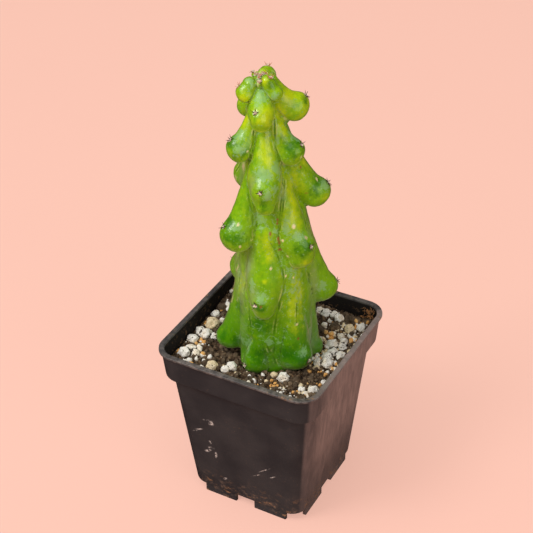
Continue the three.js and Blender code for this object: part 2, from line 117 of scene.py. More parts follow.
# The lobes, from the crown down: turn from the facing side in degrees, height of the lower
# end, its distance from the axis, the largest radius, and how far the tip is turned aside.
# Some also give what differs from the usual: rise, reach, radius and turn of the neck, lift
# of the tip, sag, where along the lobe its belly and its tip are, how narrow its chin is, and
# how widely it merges with what it grows from.
LOBES = [
    (-66, 229.2, 8, 4.1, -34, {"rise": 4, "reach": 5.4, "radius": 3.7, "lift": 50}),
    (45, 230.6, 8.4, 3.6, 0,
     {"rise": 5, "reach": 5, "radius": 3.2, "turn": 29, "peak": 0.4, "lift": 84}),
    (160, 232.4, 6.4, 4.6, 5, {}),
    (-8, 234.6, 4.8, 1.8, 0, {}),
    (-125, 235.4, 3.6, 1.6, 0, {}),
    (-6, 219.8, 11.2, 6.2, -37,
     {"rise": 11, "radius": 3.2, "belly": 0.72, "chin": 0.82, "lift": 56}),
    (97, 219.8, 13.8, 6.5, 5, {"rise": 11.5, "radius": 5.8, "lift": 42}),
    (-137, 217, 11, 4.6, 0, {}),
    (-57, 203.6, 14, 5.9, -22, {"lift": 52}),
    (60, 201.2, 12.5, 6.3, 8, {"turn": 44}),
    (172, 204, 13.5, 6, 0, {}),
    (-6, 180, 18, 8, -9, {"belly": 0.62, "chin": 0.56, "peak": 0.78, "lift": 20}),
    (94, 175.2, 21.2, 7, 0, {"radius": 7, "lift": 38}),
    (-136, 180, 14, 6.4, 0, {}),
    (-57, 159, 18.8, 7.8, -16, {"reach": 4.6, "radius": 4.8, "lift": 44}),
    (50, 149.4, 17.3, 8.5, -7, {"turn": 34, "belly": 0.78, "chin": 0.82, "peak": 0.88, "lift": 18}),
    (170, 155, 18.5, 8, 0, {}),
    (-15.5, 122.4, 19, 9.7, -20,
     {"belly": 0.58, "chin": 0.52, "peak": 0.9, "lift": 14, "sag": 0.24}),
    (97, 120.2, 22.9, 7.4, 0, {"rise": 48, "reach": 8.4, "radius": 8.6, "lift": 17}),
    (-132, 126, 17, 8.4, 0, {}),
    (-86, 94, 22.4, 6.6, -5, {"radius": 9, "merge": 4}),
    (34, 91, 14.6, 8.6, 15, {"rise": 50, "reach": 8, "radius": 8.6, "merge": 4.5}),
    (165, 93, 19, 7.8, 0, {"radius": 9.5, "merge": 4.5}),
    (-42, 87, 13.6, 8, -5, {"radius": 9, "reach": 10, "merge": 5}),
    (90, 86, 16.6, 6, 0, {"radius": 8, "reach": 11, "merge": 4.5}),
    (-135, 86, 16, 7.4, 0, {"radius": 9, "merge": 4.5}),
]

# Height of the youngest lobe, and how far below it a lobe is fully aged.
YOUNGEST = 235.0
AGEING = 145.0

# What a lobe is like where it gives nothing else: rise of the neck by the depth below the top,
# reach and radius of the neck as shares of the core's, lift of the youngest tip in degrees, sag,
# the swelling behind the tip, and how widely a lobe merges.
RISE_TOP = 236
RISE_LEAST = 0.9
RISE_SHARE = 0.52
RISE_MOST = 38
NECK_REACH = 0.55
NECK_SHARE = 0.56
YOUNG_NECK = 1.2
NECK_MOST = 0.92
YOUNG_LIFT = 60
SAG = 0.14
SWELL_PLACE = 0.45
SWELL_RADIUS = 0.7
SWELL_JOIN = 0.4
MERGE_LEAST = 0.45
MERGE_AGED = 2.6

# Woolly young tips of the crown: turn about it and lift, in degrees.
CROWN_TUFTS = [(-83, 70), (73, 80), (85, 67), (-90, 58), (-3, 63), (-17, 49)]

# The spines: height above which they are young, how far from an areole's middle they start,
# radius, lean from the tip and share of the full length. Lobes are young or small by radius.
YOUNG_ABOVE = 228.0
PAD = 0.35
SPINE_RADIUS = 0.3
SPINE_LEAN = (0.6, 1.25)
SPINE_SHARE = (0.6, 1.05)
SPINE_STEP = 2.4
YOUNG_LOBE = 5
SMALL_LOBE = 3
WOOL_HAIRS = 40
YOUNG_WOOL_HAIRS = 70

# Hairs of the wool: lean, span of their turns, depth and shift of their start, length, radius.
WOOL_LEAN = 1.15
WOOL_SPAN = 6.28
WOOL_DEPTH = 0.6
WOOL_SHIFT = 0.4
WOOL_LENGTH = (0.8, 1.35)
WOOL_RADIUS = 0.22

# Furrows in the skin: turn in degrees and height of the points along each one.
FURROWS = [
    [(-30, 213), (-29, 209), (-31, 206), (-33, 202), (-38, 198)],
    [(-51, 195), (-51, 191), (-45, 183), (-38, 178), (-32, 172), (-31, 165), (-32, 160)],
    [(-43, 148), (-50, 140), (-52, 134), (-51, 128), (-45, 121)],
    [(35, 218), (29, 213), (26, 209), (25, 205), (28, 202), (30, 196), (30, 192), (34, 186)],
    [(27, 182), (22, 178), (18, 173), (15, 169), (12, 164), (13, 160), (14, 156), (15, 153)],
    [(39, 188), (34, 184), (28, 180), (24, 176), (18, 170), (15, 165)],
    [(63, 169), (58, 166), (55, 163)],
    [(70, 135), (72, 132), (72, 127), (75, 121)],
    [(-2, 159), (8, 153), (13, 148), (16, 143), (16, 138), (15, 132), (9, 126), (2, 118),
     (-1, 112)],
    [(-1, 112), (-4, 105), (-3, 99), (-6, 93), (-2, 87)],
    [(35, 123), (32, 116), (31, 113)],
    [(-39, 125), (-39, 116), (-37, 110)],
    [(-38, 102), (-44, 98), (-53, 91), (-49, 87)],
    [(-17, 104), (-14, 100), (-10, 95)],
    [(-69, 136), (-67, 129)],
]

# Furrows that lie in a wide valley.
VALLEYS = [FURROWS[9], FURROWS[12]]

# How far the patches of each kind spread, as a share of their size.
SPREADS = {
    "yellow_and_highlight": 1.7, "dark": 1.5, "wax_and_sheen": 1.3, "film": 2.6, "cork": 1.0, "scar": 1.0, "cream": 1.0
}

# Soft patches and small marks: turn and height of the middle, half width and half height.
PATCHES = {
    # Yellow patches of the skin; some, on the right of the stem, also paint light where the skin
    # lies in shade.
    "yellow_and_highlight": [
        (-1, 206, 2.1, 4.9), (2, 202, 1.7, 3.3), (60, 220, 1.5, 4.4), (54, 214, 1.3, 3.3),
        (56, 184, 1.9, 4.9), (47, 178, 2.1, 6.0), (41, 168, 1.7, 3.8), (103, 228, 3.3, 2.2),
        (81, 228, 2.9, 2.2), (-47, 229, 1.7, 1.4), (120, 238, 1.9, 2.7), (14, 237, 1.4, 1.4),
        (5, 224, 2.4, 2.7), (-54, 217, 1.4, 2.7), (-9, 159, 2.1, 3.8), (-6, 152, 1.4, 3.3),
        (-12, 140, 0.7, 0.6), (39, 127, 3.0, 9.0), (29, 120, 3.4, 8.6), (-59, 131, 1.9, 4.4),
        (85, 193, 1.4, 3.3), (82, 175, 1.4, 1.6), (42, 148, 1.9, 1.6), (52, 180, 3.4, 8.0),
        (40, 172, 3.0, 5.0), (100, 222, 4.0, 4.0),
    ],
    "dark": [
        (-55, 208, 2.9, 2.7), (-41, 204, 3.3, 2.2), (30, 235, 1.9, 2.2), (53, 207, 3.8, 3.8),
        (40, 202, 2.9, 2.2), (-6, 183, 1.9, 2.2), (86, 183, 2.9, 2.7), (76, 179, 2.4, 2.7),
        (-45, 162, 4.8, 3.8), (-56, 168, 3.0, 2.6), (38, 157, 4.0, 3.6),
        (-16, 127, 1.9, 1.6), (-26, 112, 4.8, 4.4), (-76, 97, 2.4, 3.3),
        (-66, 96, 3.8, 2.2), (-22, 93, 3.8, 3.8), (18, 96, 5.7, 4.4), (32, 92, 2.9, 2.7),
        (-59, 117, 2.9, 4.4), (89, 225, 1.4, 2.7),
    ],
    # Pale wax bloom, and painted sheen: pale patches where highlights fall on the bulbs.
    "wax_and_sheen": [
        (-6, 230, 2.9, 3.8), (29, 231, 1.4, 2.7), (-47, 236, 2.4, 2.7), (-42, 206, 2.4, 2.7),
        (-54, 211, 2.4, 2.2), (18, 197, 2.9, 4.9), (-7, 196, 3.8, 3.3), (-1, 188, 2.4, 2.7),
        (9, 189, 2.4, 2.7), (29, 209, 1.4, 3.3), (-21, 169, 3.8, 3.3), (24, 167, 1.9, 3.8),
        (35, 162, 2.9, 2.2), (-14, 132, 3.3, 2.7), (-28, 136, 1.9, 4.9), (-40, 143, 1.9, 4.4),
        (-45, 167, 2.4, 2.2), (-58, 99, 2.9, 2.2), (-11, 102, 1.9, 3.3), (-44, 98, 1.9, 4.4),
        (38, 97, 2.4, 2.7), (64, 99, 1.4, 5.5), (79, 126, 2.9, 3.3), (87, 181, 2.9, 2.7),
        (64, 209, 2.9, 2.7),
    ],
    "film": [
        (-38, 144, 1.4, 4.9), (-48, 138, 1.6, 5.4), (-27, 130, 1.2, 3.3), (-54, 128, 1.6, 5.4),
        (74, 128, 1.0, 6.6), (67, 99, 1.2, 5.5), (-23, 191, 1.0, 6.0), (26, 186, 1.0, 4.9),
        (-72, 134, 1.6, 5.0), (-106, 134, 1.0, 4.4), (-109, 179, 1.0, 4.4), (92, 163, 0.8, 6.6),
        (55, 161, 0.8, 4.4), (-160, 150, 1.4, 7.0), (150, 190, 1.2, 6.0), (-125, 100, 2.0, 5.0),
    ],
    "cork": [
        (-113, 137, 1.2, 3.3), (-80, 136, 1.0, 4.9), (-86, 125, 1.0, 4.9), (-82, 118, 1.0, 3.8),
        (96, 163, 1.0, 4.4), (89, 156, 1.0, 4.9), (-115, 179, 1.0, 3.3), (-106, 188, 1.0, 3.8),
        (46, 161, 1.0, 4.4), (56, 104, 1.0, 4.4),
    ],
    "scar": [
        (13, 170, 0.6, 0.9), (12, 168, 0.5, 0.8), (-1, 163, 0.7, 1.1), (12, 160, 0.5, 1.2),
        (13, 158, 0.5, 1.3), (14, 154, 0.7, 0.8), (31, 104, 0.6, 0.8), (-15, 128, 0.8, 0.6),
        (72, 179, 0.5, 0.6), (-13, 225, 0.6, 0.7), (74, 192, 0.5, 0.8), (140, 186, 0.6, 1.1),
        (-150, 150, 0.6, 0.9), (175, 128, 0.7, 1.2), (110, 150, 0.5, 0.9),
    ],
    "cream": [
        (-46, 168, 0.6, 1.0), (35, 167, 1.0, 1.1), (24, 151, 0.7, 0.7), (-3, 146, 0.6, 0.7),
        (33, 138, 0.6, 0.6), (20, 140, 0.6, 0.5), (31, 112, 0.6, 0.6),
        (18, 160, 0.7, 0.8), (-39, 158, 0.6, 0.5), (86, 184, 0.6, 1.3), (-34, 205, 0.5, 0.5),
        (55, 201, 0.5, 0.7), (150, 170, 0.6, 0.8), (-165, 140, 0.7, 0.7), (-120, 205, 0.6, 0.8),
        (130, 118, 0.8, 0.8), (-100, 160, 0.6, 0.6),
    ],
}

# Heights over which the skin changes, each from no effect to the full one, and the same for how
# far a place lies toward the far side.
AGED_BAND = (232, 150)
HIGH_BAND = (160, 225)
LOW_BAND = (150, 90)
SEAM_BAND = (120, 100)
EDGE_BAND = (132, 106)
RELIEF_BAND = (78, 90)
HIDDEN_BAND = (5, -12)

# Furrows of the hidden lobes: least turn of such a lobe, greatest height, and the furrow's side.
HIDDEN_TURN = 110
HIDDEN_TOP = 225
FURROW_SIDE = 20

# Relief of the skin, in millimetres: height, size and seed of its lumps; what each groove lies
# along, its depth and its width; and the height of the marks.
SKIN_LUMPS = [(0.18, 7, 5), (0.1, 2.4, 6), (0.05, 1.3, 7)]
SKIN_GROOVES = [
    ("margin", 0.24, 0.6), ("furrow", 0.2, 0.45), ("tip", 0.4, 1.1), ("valley", 0.9, 2.6),
    ("margin", 0.35, 1.5),
]
MARK_RELIEF = {"rim": 0.12, "scar": -0.18, "cream": 0.1}

# Distances that stand for no lobe and no tip nearby, and the step between the lobes' tints.
FAR_LOBE = 9.0
FAR_TIP = 99.0
TINT_STEP = 0.618

# How the streaks of the skin are scaled along each axis.
STREAK_STRETCH = (1, 1, 0.22)

# The skin's grid: a coarse one is found by rays, then made twice as fine two times. Each is
# evened out in this many passes.
COARSE_COLUMNS = 64
COARSE_ROWS = 68
COARSE_FAN_ROWS = 24
EVENING_PASSES = (12, 8, 5)
TOP_LIFT = math.radians(88.8)


def screen_colour(red, green, blue):
    """Linear colour of a colour given as it looks on a screen, 0 to 255."""
    shares = [channel / 255 for channel in (red, green, blue)]
    return tuple(s / 12.92 if s <= 0.04045 else ((s + 0.055) / 1.055) ** 2.4 for s in shares)


def smooth_step(low, high, value):
    """Share from 0 to 1 of the way from low to high, eased at both ends."""
    share = np.clip((value - low) / (high - low), 0, 1)
    return share * share * (3 - 2 * share)


def hump(value, width, middle=0.0):
    """Strength of 1 at the middle that falls off over the width on both sides."""
    return np.exp(-(((value - middle) / width) ** 2))


# Shape of the cactus, in its own frame: x to the right of the facing side, y toward it.


def axis_at(z):
    """Middle of the stem at a height, as x and y."""
    t = np.clip((z - AXIS_FOOT) / AXIS_LENGTH, -1, 1.1)
    return AXIS_START - LEAN_LEFT * np.maximum(t, 0) ** 1.5, AXIS_START - LEAN_BACK * t


def core_radius(z):
    """Radius of the stem's core at a height."""
    above = CORE_TAPER * np.maximum(z - CORE_WIDEST, 0) ** CORE_TAPER_POWER
    below = CORE_FOOT_TAPER * np.maximum(CORE_WIDEST - z, 0) ** 2
    return CORE_RADIUS - above - below


def on_stem(turn, reach, z):
    """Point at a turn in degrees and a distance from the middle of the stem."""
    x, y = axis_at(z)
    angle = math.radians(turn)
    return np.array([x + reach * math.sin(angle), y + reach * math.cos(angle), z])


def outward(turn, lift):
    """Direction at a turn about the upright axis and a lift above the level."""
    flat = math.cos(lift)
    return np.array([math.sin(turn) * flat, math.cos(turn) * flat, math.sin(lift)])


class Lobe:
    """One lobe: it grows from its neck on the stem to its belly, and has a raised tip."""

    def __init__(self, turn, height, reach, radius, tip_turn, own):
        age = min(max((YOUNGEST - height) / AGEING, 0), 1)
        usual_rise = RISE_LEAST + RISE_SHARE * (RISE_TOP - height)
        neck_height = height + own.get("rise", min(RISE_MOST, usual_rise))
        core = core_radius(neck_height)
        neck_reach = own.get("reach", NECK_REACH * core)
        usual = min(NECK_SHARE * core + YOUNG_NECK * (1 - age) ** 6, NECK_MOST * radius)
        lift = math.radians(own.get("lift", YOUNG_LIFT * (1 - age) ** 1.5))
        self.radius = radius
        self.neck_radius = own.get("radius", usual)
        self.belly = own.get("belly", 1)
        self.chin = own.get("chin", 1)
        self.neck = on_stem(own.get("turn", turn), neck_reach, neck_height)
        self.run = on_stem(turn, reach, height) - self.neck
        self.tip = outward(math.radians(turn + tip_turn), lift)
        aside = np.array([self.run[0], self.run[1], 0])
        sagging = own.get("sag", SAG) * max(reach - neck_reach, 0)
        self.sag = aside / np.linalg.norm(aside) * sagging
        peak = own.get("peak", 1)
        self.peak_radius = float(self.thickness(np.array([peak]))[0])
        self.middle = self.neck + peak * self.run
        self.swell = self.middle + SWELL_PLACE * self.peak_radius * self.tip
        self.merge = own.get("merge", MERGE_LEAST + MERGE_AGED * age**1.25)
        self.centre = self.neck + self.run / 2
        self.bound = np.linalg.norm(self.run) / 2 + max(radius, core) * 1.15 + 3 + self.merge

    def thickness(self, t):
        """Radius along the run: it grows to the belly and narrows again to the chin."""
        grown = np.minimum(t / self.belly, 1)
        soft = 0.55 * grown**2 * (3 - 2 * grown) + 0.45 * grown * (2 - grown)
        growth = soft if self.belly < 1 else grown**1.15
        past = np.maximum(t - self.belly, 0) / max(1 - self.belly, 1e-9)
        full = self.neck_radius + (self.radius - self.neck_radius) * growth
        return full * (1 - (1 - self.chin) * past**1.7)


def join(a, b, width):
    """Smooth joining of two distances."""
    h = np.clip(0.5 + 0.5 * (b - a) / width, 0, 1)
    return b + (a - b) * h - width * h * (1 - h)


LOBE_SHAPES = [Lobe(*numbers) for numbers in LOBES]


def along_lobe(points, lobe):
    """Share of the way from the neck to the bulb, for each point."""
    return np.clip((points - lobe.neck) @ lobe.run / (lobe.run @ lobe.run), 0, 1)


def lobe_distance(points, lobe):
    """Distance to one lobe, with the swelling of its tip."""
    t = along_lobe(points, lobe)
    offset = points - lobe.neck - t[:, None] * lobe.run + (4 * t * (1 - t))[:, None] * lobe.sag
    body = np.linalg.norm(offset, axis=1) - lobe.thickness(t)
    swell = np.linalg.norm(points - lobe.swell, axis=1) - SWELL_RADIUS * lobe.peak_radius
    return join(body, swell, SWELL_JOIN * lobe.peak_radius)


def stem_distance(points):
    """Distance to the bare stem and its crown."""
    x, y = axis_at(points[:, 2])
    out = np.hypot(points[:, 0] - x, points[:, 1] - y)
    crown = np.hypot(out, points[:, 2] - CROWN) - CROWN_RADIUS
    return np.where(points[:, 2] < CROWN, out - core_radius(points[:, 2]), crown)


def near_lobe(points, lobe):
    """Numbers of the points that a lobe can reach."""
    return np.nonzero(((points - lobe.centre) ** 2).sum(1) < lobe.bound**2)[0]


def plant_distance(points):
    """Distance to the skin, below zero inside."""
    distance = stem_distance(points)
    for lobe in LOBE_SHAPES:
        near = near_lobe(points, lobe)
        if len(near):
            distance[near] = join(distance[near], lobe_distance(points[near], lobe), lobe.merge)
    return distance


def plant_slope(points, distance, step=0.05):
    """Slope of the distance, which points straight out of the skin."""
    shifts = np.eye(3) * step
    return np.stack([(plant_distance(points + s) - distance) / step for s in shifts], -1)


def skin_along(starts, directions, reach=RAY_REACH, steps=44):
    """Outermost place on each ray where the distance falls to zero."""
    inside = np.zeros(len(starts))
    waiting = np.arange(len(starts))
    for i in range(steps - 1, -1, -1):
        at = reach * i / steps
        found = plant_distance(starts[waiting] + directions[waiting] * at) < 0
        inside[waiting[found]] = at
        waiting = waiting[~found]
    outside = inside + reach / steps
    for _ in range(9):
        middle = (inside + outside) / 2
        found = plant_distance(starts + directions * middle[:, None]) < 0
        inside = np.where(found, middle, inside)
        outside = np.where(found, outside, middle)
    return starts + directions * ((inside + outside) / 2)[:, None]


def coarse_rings():
    """Rings of skin points from the stem's foot to the pole of the crown."""
    turns = np.linspace(-math.pi, math.pi, COARSE_COLUMNS, endpoint=False)[None, :]
    low = np.linspace(STEM_FOOT, FAN_START, COARSE_ROWS, endpoint=False)
    fan = np.linspace(0, 1, COARSE_FAN_ROWS)
    heights = np.concatenate([low, FAN_START + FAN_RISE * fan])[:, None] + 0 * turns
    lifts = np.concatenate([0 * low, TOP_LIFT * fan])[:, None] + 0 * turns
    x, y = axis_at(heights)
    starts = np.stack([x, y, heights], -1)
    flat = np.cos(lifts)
    directions = np.stack([np.sin(turns) * flat, np.cos(turns) * flat, np.sin(lifts)], -1)
    skin = skin_along(starts.reshape(-1, 3), directions.reshape(-1, 3))
    return skin.reshape(starts.shape)


def even_out(rings, passes, share=0.125):
    """Evens out the spacing of the points and sets each one back on the skin."""
    for _ in range(passes):
        moved = rings.copy()
        around = rings[:-2] + rings[2:] + np.roll(rings, 1, 1)[1:-1] + np.roll(rings, -1, 1)[1:-1]
        moved[1:-1] = (1 - 4 * share) * rings[1:-1] + share * around
        points = moved[1:-1].reshape(-1, 3)
        distance = plant_distance(points)
        slope = plant_slope(points, distance)
        steepness = np.maximum((slope**2).sum(-1), 0.3)
        points = points - slope * (distance / steepness)[:, None]
        rings = rings.copy()
        rings[1:-1] = points.reshape(rings[1:-1].shape)
    return rings


def twice_as_fine(rings):
    """Twice as many columns, and a row between each two rows."""
    beside = (rings + np.roll(rings, -1, 1)) / 2
    wide = np.stack([rings, beside], 2).reshape(len(rings), -1, 3)
    between = (wide[:-1] + wide[1:]) / 2
    tall = np.empty((2 * len(wide) - 1,) + wide.shape[1:])
    tall[::2] = wide
    tall[1::2] = between
    return tall


def skin_rings():
    """Fine, even rings of skin points."""
    rings = coarse_rings()
    for i, passes in enumerate(EVENING_PASSES):
        rings = even_out(twice_as_fine(rings) if i else rings, passes)
    return rings


def to_pot_frame(points):
    """Metres in the pot's frame, of millimetres in the cactus's frame."""
    right = np.array([math.cos(FACING), math.sin(FACING), 0])
    toward = np.array([math.sin(FACING), -math.cos(FACING), 0])
    up = np.array([0, 0, 1])
    return MM * (points[..., 0:1] * right + points[..., 1:2] * toward + points[..., 2:3] * up)


# Materials: their numbers, and a short way to make and join nodes.

# Noise patterns of the materials: scale, detail and roughness of the noise, the range of it over
# which the pattern fades in, and the strengths that it fades between, if not 0 and 1.
PATTERNS = {
    "bright_patches": (120, 7, 0.7, 0.3, 0.7),
    "rib_streaks": (420, 4, 0.6, 0.4, 0.62, 0, 0.35),
    "grain_spread": (190, 4, 0.55, 0.45, 0.58),
    "flecks": (900, 3, 0.6, 0.6, 0.68, 0, 0.4),
    "pore_spread": (150, 3, 0.55, 0.52, 0.62, 0, 0.45),
    "spine_shade": (700, 2, 0.55, 0.4, 0.6),
    "wool_shade": (1200, 3, 0.55, 0.35, 0.65),
    "scuff_edge": (620, 7, 0.76, 0.46, 0.54),
    "faded_plastic": (38, 3, 0.55, 0.35, 0.65),
    # Streaks of the painted reflection on the pot's right side.
    "side_wipes": (260, 5, 0.65, 0.3, 0.75, 0.495, 0.9),
    "dust": (230, 8, 0.75, 0.5, 0.7),
    "thin_dust": (70, 4, 0.6, 0.5, 0.72, 0, 0.12),
    "grime": (420, 6, 0.7, 0.56, 0.64, 0, 0.9),
    "speck_spread": (80, 3, 0.55, 0.5, 0.6, 0, 0.6),
    "inner_dirt": (420, 8, 0.75, 0.56, 0.62, 0, 0.75),
    "rim_dust": (300, 7, 0.72, 0.38, 0.62, 0.15, 0.9),
    "rim_patches": (24, 3, 0.55, 0.42, 0.58, 0.45, 1),
    "rim_spots": (240, 5, 0.6, 0.6, 0.68, 0, 0.8),
    "peat_fibres": (650, 6, 0.75, 0.56, 0.68, 0, 0.6),
    "grit_spread": (240, 3, 0.55, 0.5, 0.6),
    "stone_patches": (420, 4, 0.55, 0.38, 0.66, 0, 0.4),
    "stone_stains": (150, 5, 0.65, 0.5, 0.62, 0, 0.45),
    "stone_pits": (1200, 4, 0.65, 0.58, 0.68, 0, 0.55),
    "fibre_shade": (500, 3, 0.55, 0.4, 0.6),
}

# Patterns and marks whose noise is scaled apart on each axis, or distorted.
STRETCHES = {
    "rib_streaks": STREAK_STRETCH,
    "flecks": (1, 1, 0.4),
    "side_wipes": (1, 1.6, 0.3),
    "grime": (0.5, 0.5, 1),
}
DISTORTIONS = {"peat_fibres": 1.4, "wax_and_sheen": 0.8}

# Colours of the skin and the marks that show them, broad ones and those of its seams, each from
# the lowest layer up.
BROAD_COLOURS = {"foot_green": "low", "yellow_green_and_highlight": "yellow_and_highlight", "deep_green": "dark"}
SEAM_COLOURS = {"film": "film", "pale_rim": "rim", "cork": "cork", "crease_and_shade_green": "crease_and_shade"}

# Round dots: how many to a metre, and where each one's edge starts and ends.
DOTS = {
    "grains": (620, 0.12, 0.32),
    "pores": (430, 0.08, 0.2),
    "dust_specks": (520, 0.0, 0.2),
    "grit": (900, 0.12, 0.26),
}

# How noise breaks up the edge of each mark: its scale and strength, the range over which the
# mark fades in, and the mark's full strength.
BREAK_UP = {
    "low": (60, 0.5, 0.1, 1.1, 1.0),
    "yellow_and_highlight": (300, 1.5, 0.0, 1.0, 0.88),
    "dark": (230, 1.6, 0.1, 0.75, 0.8),
    "wax_and_sheen": (460, 3.0, 0.42, 0.68, 0.55),
    "film": (380, 1.3, 0.0, 1.2, 0.45),
    "rim": (480, 1.4, 0.25, 0.8, 0.8),
    "cork": (430, 1.6, 0.3, 1.0, 1.0),
    "crease_and_shade": (500, 0.9, 0.05, 0.9, 0.8),
    "hollow": (900, 0.9, 0.25, 0.75, 0.9),
}
BREAK_DETAIL = (5, 0.68)

# Ranges over which other values fade, and the strengths that they fade between, if not 0 and 1.
# Heights and places are in metres.
FADES = {
    "grains_by_height": (0.1, 0.9, 0.42, 0.12),
    "shaded_inner_wall": (0.02, 0.07),
    "outer_wall": (0.02, 0.07, 1, 0),
    "rim_top": (0.94, 0.99),
    "right_side": (0.0, 0.003),
    "right_front": (-0.038, -0.012, 0.35, 1),
    "right_foot": (0.004, 0.05, 0.35, 1),
    "foot": (0.003, 0.024, 1, 0),
    "soil_line": (0.084, 0.094, 1, 0.25),
    "scuff": (1.3, 0.3),
    "peat": (0.0, 0.55),
    "dry_and_lit_peat": (0.45, 1.0),
    "skin_roughness": (0, 0.6, 0.28, 0.46),
    "spine_roughness": (0, 1, 0.4, 0.6),
    "wool_roughness": (0, 1, 0.85, 0.95),
    "pot_roughness": (0, 0.6, 0.36, 0.8),
    "pot_gleam": (0, 1, 0.4, 0.05),
    "peat_roughness": (0, 1, 0.98, 0.88),
    "stone_roughness": (0, 0.4, 0.8, 0.92),
    "fibre_roughness": (0, 1, 0.8, 0.95),
    "floor_roughness": (0, 1, 0.9, 0.95),
}

# Bumps of each finish: scale, detail and roughness of the noise, its height in metres and the
# strength of the bump.
BUMPS = {
    "skin": [(300, 4, 0.55, 0.0005, 0.5), (950, 4, 0.65, 0.00014, 0.7)],
    "pot": [(700, 4, 0.6, 0.0001, 0.6), (90, 3, 0.55, 0.0006, 0.25)],
    "peat": [(1000, 8, 0.8, 0.0012, 0.9)],
    "stone": [(1500, 5, 0.65, 0.0003, 0.8)],
}

# Noise of the peat's grain and how far it raises the peat, and noise of the floor's tone.
PEAT_GRAIN = (900, 6, 0.75)
PEAT_AMOUNT = 1.6
FLOOR_TONE = (6, 2, 0.55)

# Shade of the wool; how strongly the scars and the scuffs are coloured, and how much painted shade
# darkens the inner wall; how dull the inner wall is; and how dusty the foot of the pot is.
WOOL_SHADE = (232, 214, 196)
SCAR_SHARE = 0.8
SCUFF_SHARE = 0.95
INSIDE_SHARE = 0.85
INSIDE_DULLNESS = 0.6
FOOT_DUST = 0.85


class Recipe:
    """A procedural material in the making: its colours are laid over one another."""

    def __init__(self, name, colour):
        self.material = bpy.data.materials.new(name)
        self.material.use_nodes = True
        self.nodes = self.material.node_tree.nodes
        self.links = self.material.node_tree.links
        self.nodes.clear()
        output = self.nodes.new("ShaderNodeOutputMaterial")
        self.shader = self.nodes.new("ShaderNodeBsdfPrincipled")
        self.links.new(self.shader.outputs[0], output.inputs[0])
        self.place = self.nodes.new("ShaderNodeTexCoord").outputs["Object"]
        self.colour = colour

    def put(self, socket, value):
        """Links a socket to another one, or sets its value."""
        if isinstance(value, bpy.types.NodeSocket):
            self.links.new(value, socket)
        elif value is not None:
            socket.default_value = (*value, 1) if socket.type == "RGBA" else value

    def make(self, kind, inputs, output=0, **properties):
        """Makes a node with its properties and inputs, and gives one of its outputs."""
        node = self.nodes.new("ShaderNode" + kind)
        for name, value in properties.items():
            setattr(node, name, value)
        for name, value in inputs.items():
            self.put(node.inputs[name], value)
        return node.outputs[output]

    def noise(self, scale, detail, rough, where=None, distortion=0.0):
        """Noise over the place on the object, or over another place."""
        inputs = {"Vector": where or self.place, "Scale": scale, "Detail": detail}
        inputs |= {"Roughness": rough, "Distortion": distortion}
        return self.make("TexNoise", inputs, "Fac")

    def attribute(self, name):
        return self.make("Attribute", {}, "Fac", attribute_name=name)

    def axis(self, index):
        return self.make("SeparateXYZ", {0: self.place}, index)

    def math(self, operation, a, b=None):
        return self.make("Math", {0: a, 1: b}, operation=operation)

    def times(self, share, *others):
        """Product of the shares."""
        for other in others:
            share = self.math("MULTIPLY", share, other)
        return share

    def between(self, value, low, high, start=0.0, end=1.0):
        """A value faded from one strength to another, eased at both ends."""
        inputs = {"Value": value, "From Min": low, "From Max": high, "To Min": start, "To Max": end}
        return self.make("MapRange", inputs, interpolation_type="SMOOTHSTEP")

    def fade(self, name, value):
        """A value faded over one of the named ranges."""
        return self.between(value, *FADES[name])

    def pattern(self, name):
        """One of the named noise patterns."""
        scale, detail, rough, low, high, *strengths = PATTERNS[name]
        where = None
        if name in STRETCHES:
            where = self.make("Mapping", {"Vector": self.place, "Scale": STRETCHES[name]})
        noise = self.noise(scale, detail, rough, where, DISTORTIONS.get(name, 0.0))
        return self.between(noise, low, high, *strengths)

    def dots(self, name):
        """One of the named spreads of round dots."""
        scale, start, end = DOTS[name]
        cells = self.make("TexVoronoi", {"Vector": self.place, "Scale": scale}, "Distance")
        return self.between(cells, start, end, 1, 0)

    def mark(self, name):
        """Strength of a mark on the surface, with its edge broken up by noise."""
        scale, amount, low, high, full = BREAK_UP[name]
        noise = self.noise(scale, *BREAK_DETAIL, distortion=DISTORTIONS.get(name, 0.0))
        offset = self.times(self.math("SUBTRACT", noise, 0.5), amount)
        return self.between(self.math("ADD", self.attribute(name), offset), low, high, 0, full)

    def mix(self, share, first, second, blend="MIX"):
        inputs = {0: share, 6: first, 7: second}
        return self.make("Mix", inputs, 2, data_type="RGBA", blend_type=blend)

    def lay(self, colour, *shares):
        """Lays a colour over what is there, by the product of the shares."""
        self.colour = self.mix(self.times(*shares), self.colour, colour)

    def finish(self, rough, bumps=None, **shader):
        """Joins the colour, the roughness, the named bumps and other inputs to the shader."""
        normal = None
        for scale, detail, grain, height, strength in BUMPS.get(bumps, []):
            inputs = {"Height": self.noise(scale, detail, grain), "Distance": height}
            normal = self.make("Bump", {**inputs, "Strength": strength, "Normal": normal})
        inputs = {"Base Color": self.colour, "Roughness": rough, "Normal": normal}
        for name, value in {**inputs, **shader}.items():
            self.put(self.shader.inputs[name.replace("_", " ")], value)
        return self.material


# Pieces and objects.


def add_object(name, data):
    """Adds an object with its data to the scene."""
    thing = bpy.data.objects.new(name, data)
    bpy.context.scene.collection.objects.link(thing)
    return thing


def as_mesh(name, bm):
    """Mesh of a bmesh, which is freed."""
    mesh = bpy.data.meshes.new(name)
    bm.to_mesh(mesh)
    bm.free()
    return mesh


def modified_mesh(thing):
    """Mesh of an object with its modifiers applied."""
    bpy.context.view_layer.update()
    evaluated = thing.evaluated_get(bpy.context.evaluated_depsgraph_get())
    return bpy.data.meshes.new_from_object(evaluated)


